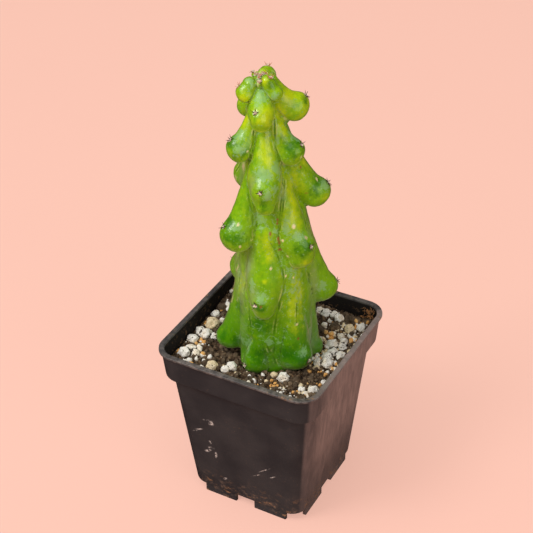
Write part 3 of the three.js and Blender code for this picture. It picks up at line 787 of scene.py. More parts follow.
def add_piece(name, bm, material, smooth=True):
    """Makes the piece from its bmesh and sets it on the frame."""
    mesh = as_mesh(name, bm)
    piece = add_object(name, mesh)
    mesh.materials.append(material)
    mesh.polygons.foreach_set("use_smooth", [smooth] * len(mesh.polygons))
    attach(piece, "root")
    return piece


def add_scaled_piece(name, bm, material, smooth=True):
    """Makes the piece from a bmesh in millimetres, with its faces turned outward."""
    bmesh.ops.recalc_face_normals(bm, faces=bm.faces)
    bmesh.ops.scale(bm, vec=(MM, MM, MM), verts=bm.verts)
    return add_piece(name, bm, material, smooth)


def place_vertices(vertices, places):
    for vertex, place in zip(vertices, places):
        vertex.co = place


def set_attribute(piece, name, values):
    """Gives each vertex of the piece a value that the materials can read."""
    layer = piece.data.attributes.new(name, "FLOAT", "POINT")
    layer.data.foreach_set("value", np.asarray(values, np.float32))


# The cactus.


def spun_surface(rows, columns):
    """Closed surface of rows by columns: a line spun about the upright axis, to be shaped."""
    bm = bmesh.new()
    line = [bm.verts.new((0, 0, 0))]
    line += [bm.verts.new((1, 0, row + 1)) for row in range(rows)]
    line.append(bm.verts.new((0, 0, rows + 1)))
    edges = [bm.edges.new(pair) for pair in zip(line, line[1:])]
    bmesh.ops.spin(
        bm,
        geom=line + edges,
        cent=(0, 0, 0),
        axis=(0, 0, 1),
        angle=2 * math.pi,
        steps=columns,
        use_merge=True,
    )
    bmesh.ops.remove_doubles(bm, verts=bm.verts, dist=1e-4)
    return bm


def skin_places(bm, rings):
    """Place of each vertex of the spun surface, from the rings of the skin."""
    rows, columns = rings.shape[:2]
    spun = np.array([v.co for v in bm.verts])
    row = np.round(spun[:, 2]).astype(int) - 1
    angle = np.arctan2(spun[:, 1], spun[:, 0])
    column = np.round(angle / (2 * math.pi) * columns).astype(int) % columns
    places = rings[np.clip(row, 0, rows - 1), column]
    places[row < 0] = rings[0].mean(0)
    places[row >= rows] = rings[-1].mean(0)
    return places


def cloud(points, size, seed):
    """Soft noise from -1 to 1 for each point, with lumps of about that size."""
    shift = Vector((seed * 7.3, seed * 3.1, seed * 5.7))
    return np.array([noise.noise(Vector(p) / size + shift) for p in points])


def skin_pattern(points):
    """Each place's margin to the next lobe, share along its lobe, tint and gap to a tip."""
    count = len(points)
    nearest = stem_distance(points)
    second = np.full(count, FAR_LOBE)
    along = np.zeros(count)
    tint = np.zeros(count)
    tip_gap = np.full(count, FAR_TIP)
    for i, lobe in enumerate(LOBE_SHAPES):
        near = near_lobe(points, lobe)
        distance = lobe_distance(points[near], lobe)
        first = distance < nearest[near]
        second[near] = np.where(first, nearest[near], np.minimum(second[near], distance))
        along[near] = np.where(first, along_lobe(points[near], lobe), along[near])
        tint[near] = np.where(first, (i * TINT_STEP) % 1, tint[near])
        nearest[near] = np.where(first, distance, nearest[near])
        tip_gap = np.minimum(tip_gap, np.linalg.norm(points - areole_at(lobe), axis=1))
    margin = np.maximum(second - nearest, 0)
    return margin, along, tint, tip_gap


def areole_at(lobe):
    """Place on the skin where a lobe's spines grow, found once."""
    if not hasattr(lobe, "areole"):
        start = lobe.middle[None, :]
        lobe.areole = skin_along(start, lobe.tip[None, :], 2 * lobe.radius)[0]
    return lobe.areole


def skin_at(turns, heights):
    """Skin places straight out from the stem's axis, by turn in degrees and height."""
    x, y = axis_at(heights)
    angles = np.radians(turns)
    directions = np.stack([np.sin(angles), np.cos(angles), 0 * angles], -1)
    return skin_along(np.stack([x, y, heights], -1), directions)


def hidden_furrows():
    """Furrows on both sides of each lobe that hangs on the far side."""
    draws = np.random.default_rng(23)
    for turn, height, *_ in LOBES:
        if abs(turn) < HIDDEN_TURN or height > HIDDEN_TOP:
            continue
        for side in (-1, 1):
            heights = np.linspace(height + 24, height + 1, 6)
            turns = turn + side * (FURROW_SIDE + draws.uniform(-5, 5, 6))
            yield list(zip(turns, heights))


def furrow_gap(points, furrows):
    """Distance from each point to the nearest of the furrows."""
    dense = []
    for furrow in furrows:
        turns, heights = np.array(furrow, float).T
        steps = np.linspace(0, len(furrow) - 1, 16 * (len(furrow) - 1) + 1)
        order = np.arange(len(furrow))
        dense.append(skin_at(np.interp(steps, order, turns), np.interp(steps, order, heights)))
    dense = np.concatenate(dense)
    tree = kdtree.KDTree(len(dense))
    for i, place in enumerate(dense):
        tree.insert(place, i)
    tree.balance()
    return np.array([tree.find(p)[2] for p in points])


def patch_field(points, patches, spread):
    """Strength from 0 to 1 of soft patches at their places on the skin."""
    patches = np.array(patches, float) * (1, 1, spread, spread)
    field = np.zeros(len(points))
    for place, (_, _, wide, tall) in zip(skin_at(patches[:, 0], patches[:, 1]), patches):
        away = (points - place) / (wide, wide, tall)
        field = np.maximum(field, np.exp(-(away**2).sum(1)))
    return field


def skin_marks(points, gap):
    """Every pattern of the skin as a strength from 0 to 1 for each point."""
    margin, along, tint, tip_gap = skin_pattern(points)
    marks = {name: patch_field(points, PATCHES[name], spread) for name, spread in SPREADS.items()}
    height = points[:, 2]
    hidden = smooth_step(*HIDDEN_BAND, points[:, 1])
    aged = smooth_step(*AGED_BAND, height)
    low = smooth_step(*LOW_BAND, height)
    high = smooth_step(*HIGH_BAND, height)
    broad = cloud(points, 9, 1)
    streak = cloud(points * np.array(STREAK_STRETCH), 2.4, 2)
    valley = hump(margin, 2)
    # Yellow green: the lobes' own yellow patches, a painted highlight along the middle of each
    # lobe's upper part, and more yellow towards the top.
    crest_highlight = smooth_step(0.8, 5.5, margin) * hump(along, 0.32, 0.4) * (0.55 + 0.45 * tint)
    marks["yellow_and_highlight"] = 0.58 * marks["yellow_and_highlight"] + crest_highlight * (0.1 + 0.25 * hidden)
    marks["yellow_and_highlight"] += 0.24 * high + 0.12 * streak - 0.1 * low
    round_tip = (0.25 + 0.3 * hidden) * hump(tip_gap, 3.4 + 2 * tint) * (0.4 + 0.6 * aged)
    marks["dark"] = 0.6 * marks["dark"] + round_tip
    # Pale wax bloom in the valleys, joined with the painted sheen patches on the bulbs.
    bloom = valley * (0.42 + 0.3 * broad) * (1 - 0.3 * low)
    marks["wax_and_sheen"] = np.maximum(0.9 * marks["wax_and_sheen"], bloom)
    marks["low"] = low
    dry = 0.55 * valley * smooth_step(0.3, 0.75, streak) * aged
    marks["cork"] = np.maximum(marks["cork"], dry * (1 - 0.8 * smooth_step(*SEAM_BAND, height)))
    edge = hump(margin, 0.5, 1.5) * smooth_step(0.45, 0.85, along)
    edge *= (1 - 0.9 * smooth_step(*EDGE_BAND, height)) * smooth_step(-0.5, 0.2, broad)
    wavering = smooth_step(-0.5, 0.5, cloud(points, 5, 8))
    marks["rim"] = np.maximum(0.9 * edge, 0.75 * hump(gap, 0.35, 0.85) * wavering)
    # Painted shade under the bulbs' chins, joined with the thin dark lines along the furrows.
    shade_under_bulb = 0.7 * hump(margin, 0.45) * smooth_step(0.45, 0.8, along)
    thin = 0.85 * hump(gap, 0.38) * (0.5 + 0.5 * wavering)
    marks["crease_and_shade"] = np.maximum(shade_under_bulb, thin)
    for name in ("scar", "cream"):
        marks[name] = smooth_step(0.25, 0.55, marks[name])
    return marks, margin, tip_gap


def skin_material():
    settings = bpy.context.scene.cactus_settings
    s = Recipe("cactus_skin", settings.mid_green)
    s.lay(settings.bright_green, s.pattern("bright_patches"))
    s.lay(settings.fresh_green, s.pattern("rib_streaks"))
    for name, mark in BROAD_COLOURS.items():
        s.lay(getattr(settings, name), s.mark(mark))
    # Wax bloom and painted sheen, which also make the skin rougher.
    wax_and_sheen = s.mark("wax_and_sheen")
    s.lay(settings.wax_and_sheen, wax_and_sheen)
    fewer = s.fade("grains_by_height", s.attribute("low"))
    s.lay(settings.wax_and_sheen, s.dots("grains"), s.pattern("grain_spread"), fewer)
    s.lay(settings.fresh_green, s.pattern("flecks"))
    s.lay(settings.deep_green, s.dots("pores"), s.pattern("pore_spread"))
    for name, mark in SEAM_COLOURS.items():
        s.lay(getattr(settings, name), s.mark(mark))
    s.lay(settings.scar, s.attribute("scar"), SCAR_SHARE)
    s.lay(settings.cream, s.attribute("cream"))
    return s.finish(
        s.fade("skin_roughness", wax_and_sheen),
        "skin",
        Specular_IOR_Level=0.4,
        Coat_Weight=0.5,
        Coat_Roughness=0.12,
        Sheen_Weight=0.25,
        Sheen_Roughness=0.35,
        Sheen_Tint=settings.edge_sheen,
    )


def make_cactus_skin():
    rings = skin_rings()
    bm = spun_surface(*rings.shape[:2])
    points = skin_places(bm, rings)
    gaps = {"furrow": furrow_gap(points, FURROWS + list(hidden_furrows()))}
    gaps["valley"] = furrow_gap(points, VALLEYS)
    marks, gaps["margin"], gaps["tip"] = skin_marks(points, gaps["furrow"])
    slope = plant_slope(points, plant_distance(points))
    normal = slope / np.maximum(np.linalg.norm(slope, axis=1, keepdims=True), 0.2)
    push = sum(height * cloud(points, size, seed) for height, size, seed in SKIN_LUMPS)
    push -= sum(depth * hump(gaps[name], width) for name, depth, width in SKIN_GROOVES)
    push += sum(height * marks[name] for name, height in MARK_RELIEF.items())
    push *= smooth_step(*RELIEF_BAND, points[:, 2])
    place_vertices(bm.verts, to_pot_frame(points + normal * push[:, None]))
    bmesh.ops.recalc_face_normals(bm, faces=bm.faces)
    skin = add_piece("cactus_skin", bm, skin_material())
    for name, strength in marks.items():
        set_attribute(skin, name, np.clip(strength, 0, 1))
    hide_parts("cactus")


def spine_material():
    settings = bpy.context.scene.cactus_settings
    s = Recipe("cactus_spines", settings.spine_dark)
    shade = s.pattern("spine_shade")
    s.lay(settings.spine_red, shade)
    s.lay(settings.spine_young, s.attribute("young"))
    return s.finish(s.fade("spine_roughness", shade))


def wool_material():
    s = Recipe("areole_wool", bpy.context.scene.cactus_settings.wool)
    shade = s.pattern("wool_shade")
    s.lay(screen_colour(*WOOL_SHADE), shade)
    return s.finish(s.fade("wool_roughness", shade))


def add_cone(bm, base, direction, length, radius, sides):
    """A thin cone from its base along a direction."""
    turn = Vector((0, 0, 1)).rotation_difference(Vector(direction)).to_matrix().to_4x4()
    middle = Vector(base) + Vector(direction) * (length / 2)
    bmesh.ops.create_cone(
        bm,
        cap_ends=True,
        segments=sides,
        radius1=radius,
        radius2=radius * 0.12,
        depth=length,
        matrix=Matrix.Translation(middle) @ turn,
    )


def spread_direction(tip, lean, turn):
    """The tip's direction leaned aside by an angle, and turned about the tip."""
    aside = np.cross((0.0, 0.0, 1.0), tip)
    aside /= np.linalg.norm(aside)
    across = np.cross(tip, aside)
    flat = aside * math.cos(turn) + across * math.sin(turn)
    return tip * math.cos(lean) + flat * math.sin(lean)


def add_wool(bm, place, up, count, draws):
    """A cushion of short woolly hairs."""
    for _ in range(count):
        lean = WOOL_LEAN * draws.uniform() ** 0.5
        direction = spread_direction(up, lean, draws.uniform(0, WOOL_SPAN))
        start = place - WOOL_DEPTH * up + direction * draws.uniform(0, WOOL_SHIFT)
        add_cone(bm, start, direction, draws.uniform(*WOOL_LENGTH), WOOL_RADIUS, 3)


def add_lobe_spines(spines, lobe, length, draws):
    """The ring of spines round a lobe's areole."""
    small = lobe.radius < SMALL_LOBE
    for i in range(3 if small else int(draws.integers(4, 7))):
        lean = draws.uniform(*SPINE_LEAN)
        turn = i * SPINE_STEP + draws.uniform(-0.4, 0.4)
        direction = spread_direction(lobe.tip, lean, turn)
        size = length * draws.uniform(*SPINE_SHARE) * (0.7 if small else 1)
        start = areole_at(lobe) + PAD * (spread_direction(lobe.tip, 1.57, turn) - lobe.tip)
        add_cone(spines, start, direction, size + 0.7, SPINE_RADIUS, 6)


def add_tuft(spines, wool, turn, lift, draws):
    """A woolly young tip of the crown with its first spines."""
    x, y = axis_at(CROWN)
    up = outward(math.radians(turn), math.radians(lift))
    place = skin_along(np.array([[x, y, CROWN]]), up[None, :])[0]
    add_wool(wool, place, up, WOOL_HAIRS, draws)
    for i in range(4):
        direction = spread_direction(up, draws.uniform(0.5, 1.1), 1.6 * i)
        add_cone(spines, place, direction, draws.uniform(0.9, 1.6), SPINE_RADIUS, 6)


def make_spines():
    draws = np.random.default_rng(17)
    spines, wool = bmesh.new(), bmesh.new()
    length = bpy.context.scene.cactus_settings.spine_length / MM
    for lobe in LOBE_SHAPES:
        add_lobe_spines(spines, lobe, length, draws)
        hairs = YOUNG_WOOL_HAIRS if lobe.radius < YOUNG_LOBE else WOOL_HAIRS
        add_wool(wool, areole_at(lobe), lobe.tip, hairs, draws)
    for turn, lift in CROWN_TUFTS:
        add_tuft(spines, wool, turn, lift, draws)
    young = [float(v.co.z > YOUNG_ABOVE) for v in spines.verts]
    for bm in (spines, wool):
        place_vertices(bm.verts, to_pot_frame(np.array([v.co for v in bm.verts])))
        bmesh.ops.recalc_face_normals(bm, faces=bm.faces)
    piece = add_piece("cactus_spines", spines, spine_material(), smooth=False)
    set_attribute(piece, "young", young)
    add_piece("areole_wool", wool, wool_material(), smooth=False)


# The pot.


def corner_ring(half, corner):
    """Points of a square with round corners, as x and y."""
    ring = []
    for side in range(4):
        middle = math.pi / 4 + side * math.pi / 2
        x = math.copysign(half - corner, math.cos(middle))
        y = math.copysign(half - corner, math.sin(middle))
        for i in range(CORNER_STEPS + 1):
            angle = middle - math.pi / 4 + i / CORNER_STEPS * math.pi / 2
            ring.append((x + corner * math.cos(angle), y + corner * math.sin(angle)))
    return ring


def square_shell(levels):
    """Closed body through square levels of (half width, corner radius, height), from its bottom."""
    bm = bmesh.new()
    count = 4 * (CORNER_STEPS + 1)
    bmesh.ops.create_circle(bm, cap_ends=True, segments=count, radius=1)
    face = bm.faces[:][0]
    order = list(face.verts)
    for i, (half, corner, height) in enumerate(levels):
        if i:
            face = bmesh.ops.extrude_discrete_faces(bm, faces=[face])["faces"][0]
            order = list(face.verts)
        for vertex, (x, y) in zip(order, corner_ring(half, corner)):
            vertex.co = (x, y, height)
    return bm


def rounded(levels, radius=0.35, steps=3):
    """The levels with each sharp turn between them rounded off."""
    result = [levels[0]]
    for before, here, after in zip(levels, levels[1:], levels[2:]):
        ends = []
        for beside in (before, after):
            way = np.array(beside) - here
            length = np.hypot(way[0], way[2])
            ends.append(here + way * (min(radius, 0.45 * length) / length))
        for t in np.linspace(0, 1, steps + 1):
            bend = 2 * t * (1 - t) * np.array(here)
            result.append(tuple((1 - t) ** 2 * ends[0] + bend + t**2 * ends[1]))
    result.append(levels[-1])
    return result


# Scuffs and scratches on the front wall: x and height of the middle, half sizes, tilt in degrees.
SCUFFS = [
    (-15.6, 54.2, 1.5, 2.2, 20), (-18.5, 55.6, 2.2, 0.5, -15), (-23.4, 46.8, 3.0, 0.5, -25),
    (-26.5, 44.4, 1.8, 0.4, -20), (-17.3, 39.8, 1.2, 1.0, 30), (-15.0, 31.4, 0.9, 2.4, 5),
    (-19.5, 32.6, 2.4, 1.0, -30), (-17.4, 35.5, 2.0, 0.7, -10), (-10.8, 15.1, 1.3, 0.8, -40),
    (13.6, 33.2, 4.5, 0.3, -40), (18.0, 30.0, 2.5, 0.3, -38), (8.5, 27.0, 3.0, 0.25, -35),
]
SCUFF_DEPTH = 20


def scuff_share(s):
    """How strongly each place of the front wall is scuffed."""
    share = 0.0
    rough_edge = s.pattern("scuff_edge")
    for x, height, wide, tall, tilt in SCUFFS:
        inputs = {
            "Vector": s.place,
            "Location": Vector((x, -FOOT_HALF, height)) * MM,
            "Rotation": (0, math.radians(tilt), 0),
            "Scale": Vector((wide, SCUFF_DEPTH, tall)) * MM,
        }
        offset = s.make("Mapping", inputs, vector_type="TEXTURE")
        away = s.make("VectorMath", {0: offset}, "Value", operation="LENGTH")
        share = s.math("MAXIMUM", s.fade("scuff", away), share)
    return s.times(share, rough_edge)


def pot_material():
    settings = bpy.context.scene.pot_settings
    s = Recipe("pot_plastic", settings.plastic)
    x, y, height = s.axis(0), s.axis(1), s.axis(2)
    inside = s.fade("shaded_inner_wall", s.attribute("inside"))
    outside = s.fade("outer_wall", s.attribute("inside"))
    rim = s.fade("rim_top", s.attribute("rim"))
    s.lay(settings.faded_plastic, s.pattern("faded_plastic"))
    # Painted reflection: the outer right side is coloured pink in streaks, as if mirroring the
    # floor.
    right = s.fade("right_side", s.math("SUBTRACT", x, s.math("ABSOLUTE", y)))
    right = s.times(right, s.fade("right_front", y), s.fade("right_foot", height))
    s.lay(settings.side_reflection, right, s.pattern("side_wipes"), outside)
    foot = s.fade("foot", height)
    dusty = s.math("MAXIMUM", s.times(foot, FOOT_DUST), s.pattern("thin_dust"))
    dust = s.times(s.pattern("dust"), dusty)
    s.lay(settings.dust, dust)
    s.lay(settings.grime, s.pattern("grime"), foot)
    s.lay(settings.dust, s.dots("dust_specks"), s.pattern("speck_spread"))
    # Painted shade: the inner wall is coloured darker than the plastic.
    s.lay(settings.shaded_inner_wall, inside, INSIDE_SHARE)
    s.lay(settings.grime, inside, s.fade("soil_line", height), s.pattern("inner_dirt"))
    s.lay(settings.rim_dust, rim, s.pattern("rim_dust"), s.pattern("rim_patches"))
    s.lay(settings.grime, rim, s.pattern("rim_spots"))
    scuffs = scuff_share(s)
    s.lay(settings.scuff, scuffs, SCUFF_SHARE)
    dull = s.math("MAXIMUM", s.math("MAXIMUM", dust, scuffs), s.times(inside, INSIDE_DULLNESS))
    gleam = s.fade("pot_gleam", inside)
    return s.finish(s.fade("pot_roughness", dull), "pot", Specular_IOR_Level=gleam)


def pot_marks(pot):
    """Marks the vertices of the inner wall and of the rim's top."""
    inside, rim = [], []
    for vertex in pot.data.vertices:
        out = Vector((vertex.co.x, vertex.co.y, 0)).normalized().dot(vertex.normal)
        height = vertex.co.z / MM
        top = height > POT_HEIGHT - 1.6
        inside.append(float(out < 0.2 and height > FLOOR_TOP and not top))
        rim.append(float(top))
    set_attribute(pot, "inside", inside)
    set_attribute(pot, "rim", rim)


def join_tool(piece, tool_bm, operation):
    """Adds or cuts a tool body on the piece, with a boolean that is applied."""
    tool = add_object("tool", as_mesh("tool", tool_bm))
    modifier = piece.modifiers.new("tool", "BOOLEAN")
    modifier.operation = operation
    modifier.solver = "MANIFOLD"
    modifier.object = tool
    shaped = modified_mesh(piece)
    piece.modifiers.remove(modifier)
    piece.data = shaped
    bpy.data.objects.remove(tool)


def foot_strips():
    """The eight low strips that the pot stands on, one at a time."""
    length = (FOOT_SPAN - FOOT_GAP) / 2
    height = FOOT_HEIGHT + 1
    size = Matrix.Diagonal((length, FOOT_WALL, height, 1))
    for turn in range(4):
        spin = Matrix.Rotation(turn * math.pi / 2, 4, "Z")
        for side in (-1, 1):
            bm = bmesh.new()
            place = Vector((side * (FOOT_GAP + length) / 2, FOOT_WALL / 2 - FOOT_HALF, height / 2))
            bmesh.ops.create_cube(bm, size=1, matrix=spin @ Matrix.Translation(place) @ size)
            upright = [e for e in bm.edges if abs(e.verts[0].co.z - e.verts[1].co.z) > 1]
            bmesh.ops.bevel(
                bm,
                geom=upright,
                offset=0.5,
                segments=3,
                profile=0.5,
                affect="EDGES",
                material=-1,
            )
            yield bm


def drain_holes():
    """Tool body of the four holes in the floor."""
    bm = bmesh.new()
    for x in (-DRAIN_SPREAD, DRAIN_SPREAD):
        for y in (-DRAIN_SPREAD, DRAIN_SPREAD):
            bmesh.ops.create_cone(
                bm,
                cap_ends=True,
                segments=40,
                radius1=DRAIN_RADIUS,
                radius2=DRAIN_RADIUS,
                depth=6,
                matrix=Matrix.Translation((x, y, FOOT_HEIGHT + 1)),
            )
    return bm


def make_pot():
    rim_foot = POT_HEIGHT - RIM_THICKNESS
    mouth = RIM_HALF - RIM_WIDTH
    outer = [
        (BODY_FOOT_HALF - 4, BODY_CORNER - 4, FOOT_HEIGHT),
        (BODY_FOOT_HALF, BODY_CORNER, FOOT_HEIGHT),
        (BODY_TOP_HALF, BODY_CORNER, COLLAR_FOOT - COLLAR_STEP),
        (COLLAR_FOOT_HALF, RIM_CORNER - 1, COLLAR_FOOT),
        (COLLAR_TOP_HALF, RIM_CORNER - 1, rim_foot - 0.4),
        (RIM_HALF, RIM_CORNER, rim_foot),
        (RIM_HALF, RIM_CORNER, POT_HEIGHT),
    ]
    inner = [
        (mouth, RIM_CORNER - RIM_WIDTH, POT_HEIGHT),
        (COLLAR_FOOT_HALF - WALL, RIM_CORNER - RIM_WIDTH, COLLAR_FOOT),
        (BODY_TOP_HALF - WALL, BODY_CORNER - WALL, COLLAR_FOOT - COLLAR_STEP),
        (BODY_FOOT_HALF - WALL, BODY_CORNER - WALL, FLOOR_TOP),
        (BODY_FOOT_HALF - 4, BODY_CORNER - 4, FLOOR_TOP),
    ]
    bm = square_shell(rounded(outer + inner))
    bmesh.ops.holes_fill(bm, edges=[e for e in bm.edges if e.is_boundary], sides=0)
    bmesh.ops.recalc_face_normals(bm, faces=bm.faces)
    pot = add_piece("nursery_pot", bm, pot_material())
    for strip in foot_strips():
        join_tool(pot, strip, "UNION")
    join_tool(pot, drain_holes(), "DIFFERENCE")
    pot.data.transform(Matrix.Scale(MM, 4))
    pot.data.set_sharp_from_angle(angle=SHARP_ANGLE)
    pot_marks(pot)
    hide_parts("pot")


# The soil and its grit.


def seeded_draws(seed):
    """Draws from 0 to 1 that match the CAD source's."""
    state = seed
    while True:
        state = (state * 1664525 + 1013904223) % 2**32
        yield state / 2**32


def soil_crumbs():
    """Place, radius and height of each large crumb of the soil."""
    draw = seeded_draws(5)
    for _ in range(CRUMBS):
        x = -CRUMB_SPREAD + 2 * CRUMB_SPREAD * next(draw)
        y = -CRUMB_SPREAD + 2 * CRUMB_SPREAD * next(draw)
        radius = 1.8 + 2.6 * next(draw) ** 2
        yield x, y, radius, 0.4 + 0.9 * next(draw)


CRUMB_LIST = list(soil_crumbs())


def soil_level(x, y):
    """Height of the soil without its crumbs."""
    back = SOIL_RISE * smooth_step(RISE_START, RISE_END, y)
    return SOIL_LEVEL + back + LEFT_RISE * smooth_step(LEFT_START, RISE_END, -x)


def soil_height(x, y):
    """Height of the soil's surface, for arrays of places."""
    roll = 0.35 * np.sin(x / 5.3 + 1) * np.sin(y / 6.1)
    height = np.zeros_like(x)
    for cx, cy, radius, rise in CRUMB_LIST:
        near = 1 - ((x - cx) ** 2 + (y - cy) ** 2) / radius**2
        height = np.maximum(height, rise * np.sqrt(np.maximum(near, 0)))
    return soil_level(x, y) + roll + height


def soil_lumps(x, y):
    """Fine crumbs of the surface, added to its height."""
    base = np.stack([x, y, 0 * x], -1)
    ridges = np.abs(cloud(base, 2.6, 9))
    return 0.8 * cloud(base, 2.3, 3) + 0.65 * cloud(base, 1.0, 4) + 0.6 * (0.25 - ridges)


def soil_material():
    settings = bpy.context.scene.soil_settings
    s = Recipe("peat", settings.shaded_peat)
    grain = s.times(s.math("SUBTRACT", s.noise(*PEAT_GRAIN), 0.5), PEAT_AMOUNT)
    raised = s.math("ADD", s.attribute("raised"), grain)
    # The colour rises with the crumbs' height: painted shade in the hollows, peat on the slopes,
    # and dry peat with a painted highlight on the tops.
    s.lay(settings.peat, s.fade("peat", raised))
    s.lay(settings.dry_and_lit_peat, s.fade("dry_and_lit_peat", raised))
    s.lay(settings.fibre, s.pattern("peat_fibres"))
    s.lay(settings.grit, s.dots("grit"), s.pattern("grit_spread"))
    return s.finish(s.fade("peat_roughness", raised), "peat", Specular_IOR_Level=0.15)


def in_square(u, v, half, corner):
    """Bends a full square of -1 to 1 into one with round corners."""
    x, y = u * half, v * half
    inside = half - corner
    out_x, out_y = np.maximum(np.abs(x) - inside, 0), np.maximum(np.abs(y) - inside, 0)
    length = np.maximum(np.hypot(out_x, out_y), 1e-6)
    shrink = np.where((out_x > 0) & (out_y > 0), np.maximum(out_x, out_y) / length, 1)
    bent_x = np.minimum(np.abs(x), inside) + out_x * shrink
    bent_y = np.minimum(np.abs(y), inside) + out_y * shrink
    return np.sign(x) * bent_x, np.sign(y) * bent_y


def wall_half(z):
    """Half width of the pot's inside at a height."""
    heights = [FLOOR_TOP, COLLAR_FOOT - COLLAR_STEP, COLLAR_FOOT, POT_HEIGHT]
    outer = np.array([BODY_FOOT_HALF, BODY_TOP_HALF, COLLAR_FOOT_HALF, RIM_HALF])
    return np.interp(z, heights, outer - [WALL, WALL, WALL, RIM_WIDTH])


def to_cactus_frame(x, y, z):
    """Places in the cactus's frame, of places in the pot's, both in millimetres."""
    c, s = math.cos(FACING), math.sin(FACING)
    return np.stack([x * c + y * s, x * s - y * c, z], -1)


def make_soil():
    bm = bmesh.new()
    bmesh.ops.create_grid(bm, x_segments=SOIL_CELLS, y_segments=SOIL_CELLS, size=1)
    top = bm.verts[:]
    uv = np.array([v.co for v in top])
    half = wall_half(SOIL_EDGE) - CLEARANCE
    x, y = in_square(uv[:, 0], uv[:, 1], half, RIM_CORNER - RIM_WIDTH)
    lumps = soil_lumps(x, y)
    z = soil_height(x, y) + lumps
    around_stem = plant_distance(to_cactus_frame(x, y, z))
    z = np.where(around_stem < 0.35, STEM_FOOT - CLEARANCE, z)
    place_vertices(top, np.stack([x, y, z], -1))
    rim = [e for e in bm.edges if e.is_boundary]
    for height in (COLLAR_FOOT + 0.4, COLLAR_FOOT - COLLAR_STEP, FLOOR_TOP + CLEARANCE):
        made = bmesh.ops.extrude_edge_only(bm, edges=rim)["geom"]
        share = (wall_half(height) - CLEARANCE) / half
        for vertex in (g for g in made if isinstance(g, bmesh.types.BMVert)):
            vertex.co.x *= share
            vertex.co.y *= share
            vertex.co.z = height
        half = wall_half(height) - CLEARANCE
        rim = [g for g in made if isinstance(g, bmesh.types.BMEdge)]
    bmesh.ops.contextual_create(bm, geom=rim)
    raised = np.zeros(len(bm.verts))
    raised[: len(lumps)] = np.clip(0.45 + 0.55 * lumps, 0, 1)
    soil = add_scaled_piece("soil_bed", bm, soil_material())
    set_attribute(soil, "raised", raised)
    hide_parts("soil")


def stone_material(name, light, dark, stain, pit_colour):
    settings = bpy.context.scene.soil_settings
    s = Recipe(name, light)
    patches = s.pattern("stone_patches")
    s.lay(dark, patches)
    s.lay(stain, s.pattern("stone_stains"))
    s.lay(pit_colour, s.pattern("stone_pits"))
    # Soil colour and painted shade in the hollows and pits of the stones.
    s.lay(settings.stone_dirt_and_shade, s.mark("hollow"))
    return s.finish(s.fade("stone_roughness", patches), "stone", Specular_IOR_Level=0.25)


def remeshed(mesh):
    """A fine, even copy of a mesh, as a bmesh."""
    bm = bmesh.new()
    bm.from_mesh(mesh)
    bmesh.ops.remove_doubles(bm, verts=bm.verts, dist=1e-6)
    stones = add_object("tool", as_mesh(mesh.name + "_stones", bm))
    modifier = stones.modifiers.new("even", "REMESH")
    modifier.mode = "VOXEL"
    modifier.voxel_size = STONE_VOXEL * MM
    fine = modified_mesh(stones)
    bpy.data.objects.remove(stones)
    bm = bmesh.new()
    bm.from_mesh(fine)
    for _ in range(2):
        bmesh.ops.smooth_vert(
            bm, verts=bm.verts, factor=0.5, use_axis_x=True, use_axis_y=True, use_axis_z=True
        )
    bm.normal_update()
    return bm


def rough_stone(node, seed):
    """A finer copy of a CAD heap of stones: evened out, then pitted along its normals."""
    bm = remeshed(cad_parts[node].data)
    places = np.array([v.co for v in bm.verts]) / MM
    normals = np.array([v.normal for v in bm.verts])
    pairs = np.array([[v.index for v in e.verts] for e in bm.edges])
    hollow = smooth_step(-0.14, 0.16, sunken(places, normals, pairs))
    push = 0.6 * cloud(places, 2.6, seed) - 0.5 * np.abs(cloud(places, 2.3, seed + 3))
    push += 0.1 * cloud(places, 0.8, seed + 1)
    pits = np.maximum(cloud(places, 0.7, seed + 2) - 0.3, 0)
    push = push - 1.6 * pits - 0.5 * hollow + 0.25
    for vertex, out in zip(bm.verts, push):
        vertex.co += vertex.normal * (out * MM)
    # The second value marks the hollows and pits, where the material paints dirt and shade.
    return bm, np.clip(hollow + 2.5 * pits, 0, 1)


def sunken(places, normals, pairs, passes=40):
    """How deep each place lies below its smoothed surroundings, in millimetres."""
    smooth = places.copy()
    count = np.bincount(pairs.ravel(), minlength=len(places))[:, None]
    for _ in range(passes):
        total = np.zeros_like(smooth)
        for i in range(3):
            total[:, i] += np.bincount(pairs[:, 0], smooth[pairs[:, 1], i], len(places))
            total[:, i] += np.bincount(pairs[:, 1], smooth[pairs[:, 0], i], len(places))
        smooth = total / np.maximum(count, 1)
    return ((smooth - places) * normals).sum(1)


# Colours of the stones and crumbs: the main one where no setting gives it, the darker patches,
# the stains and the pits.
CRUMB_COLOUR = (0.13, 0.09, 0.056)
STONE_COLOURS = {
    "perlite": [(236, 226, 210), (244, 220, 178), (156, 132, 108)],
    "pumice": [(220, 190, 144), (244, 232, 204), (124, 92, 60)],
    "baked_clay": [(214, 146, 76), (248, 212, 150), (140, 86, 44)],
    "peat_crumb": [(44, 33, 25), (158, 132, 102), (20, 15, 12)],
}
FINISHES = {}


def stone_materials():
    """Finishes of the white, tan and orange stones and of the crumbs of peat, made once."""
    settings = bpy.context.scene.soil_settings
    lights = [settings.perlite, settings.pumice, settings.orange, CRUMB_COLOUR]
    for light, (kind, others) in zip(lights, STONE_COLOURS.items()):
        if kind not in FINISHES:
            others = [screen_colour(*colour) for colour in others]
            FINISHES[kind] = stone_material(kind + "_stone", light, *others)
    return FINISHES


def make_heaps():
    materials = stone_materials()
    for i, node in enumerate(sorted(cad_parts)):
        if node.startswith(("perlite", "pumice")):
            kind = node.split("_")[0]
            bm, hollow = rough_stone(node, 20 + 5 * i)
            piece = add_piece(node + "_grains", bm, materials[kind])
            set_attribute(piece, "hollow", hollow)
            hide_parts(node)


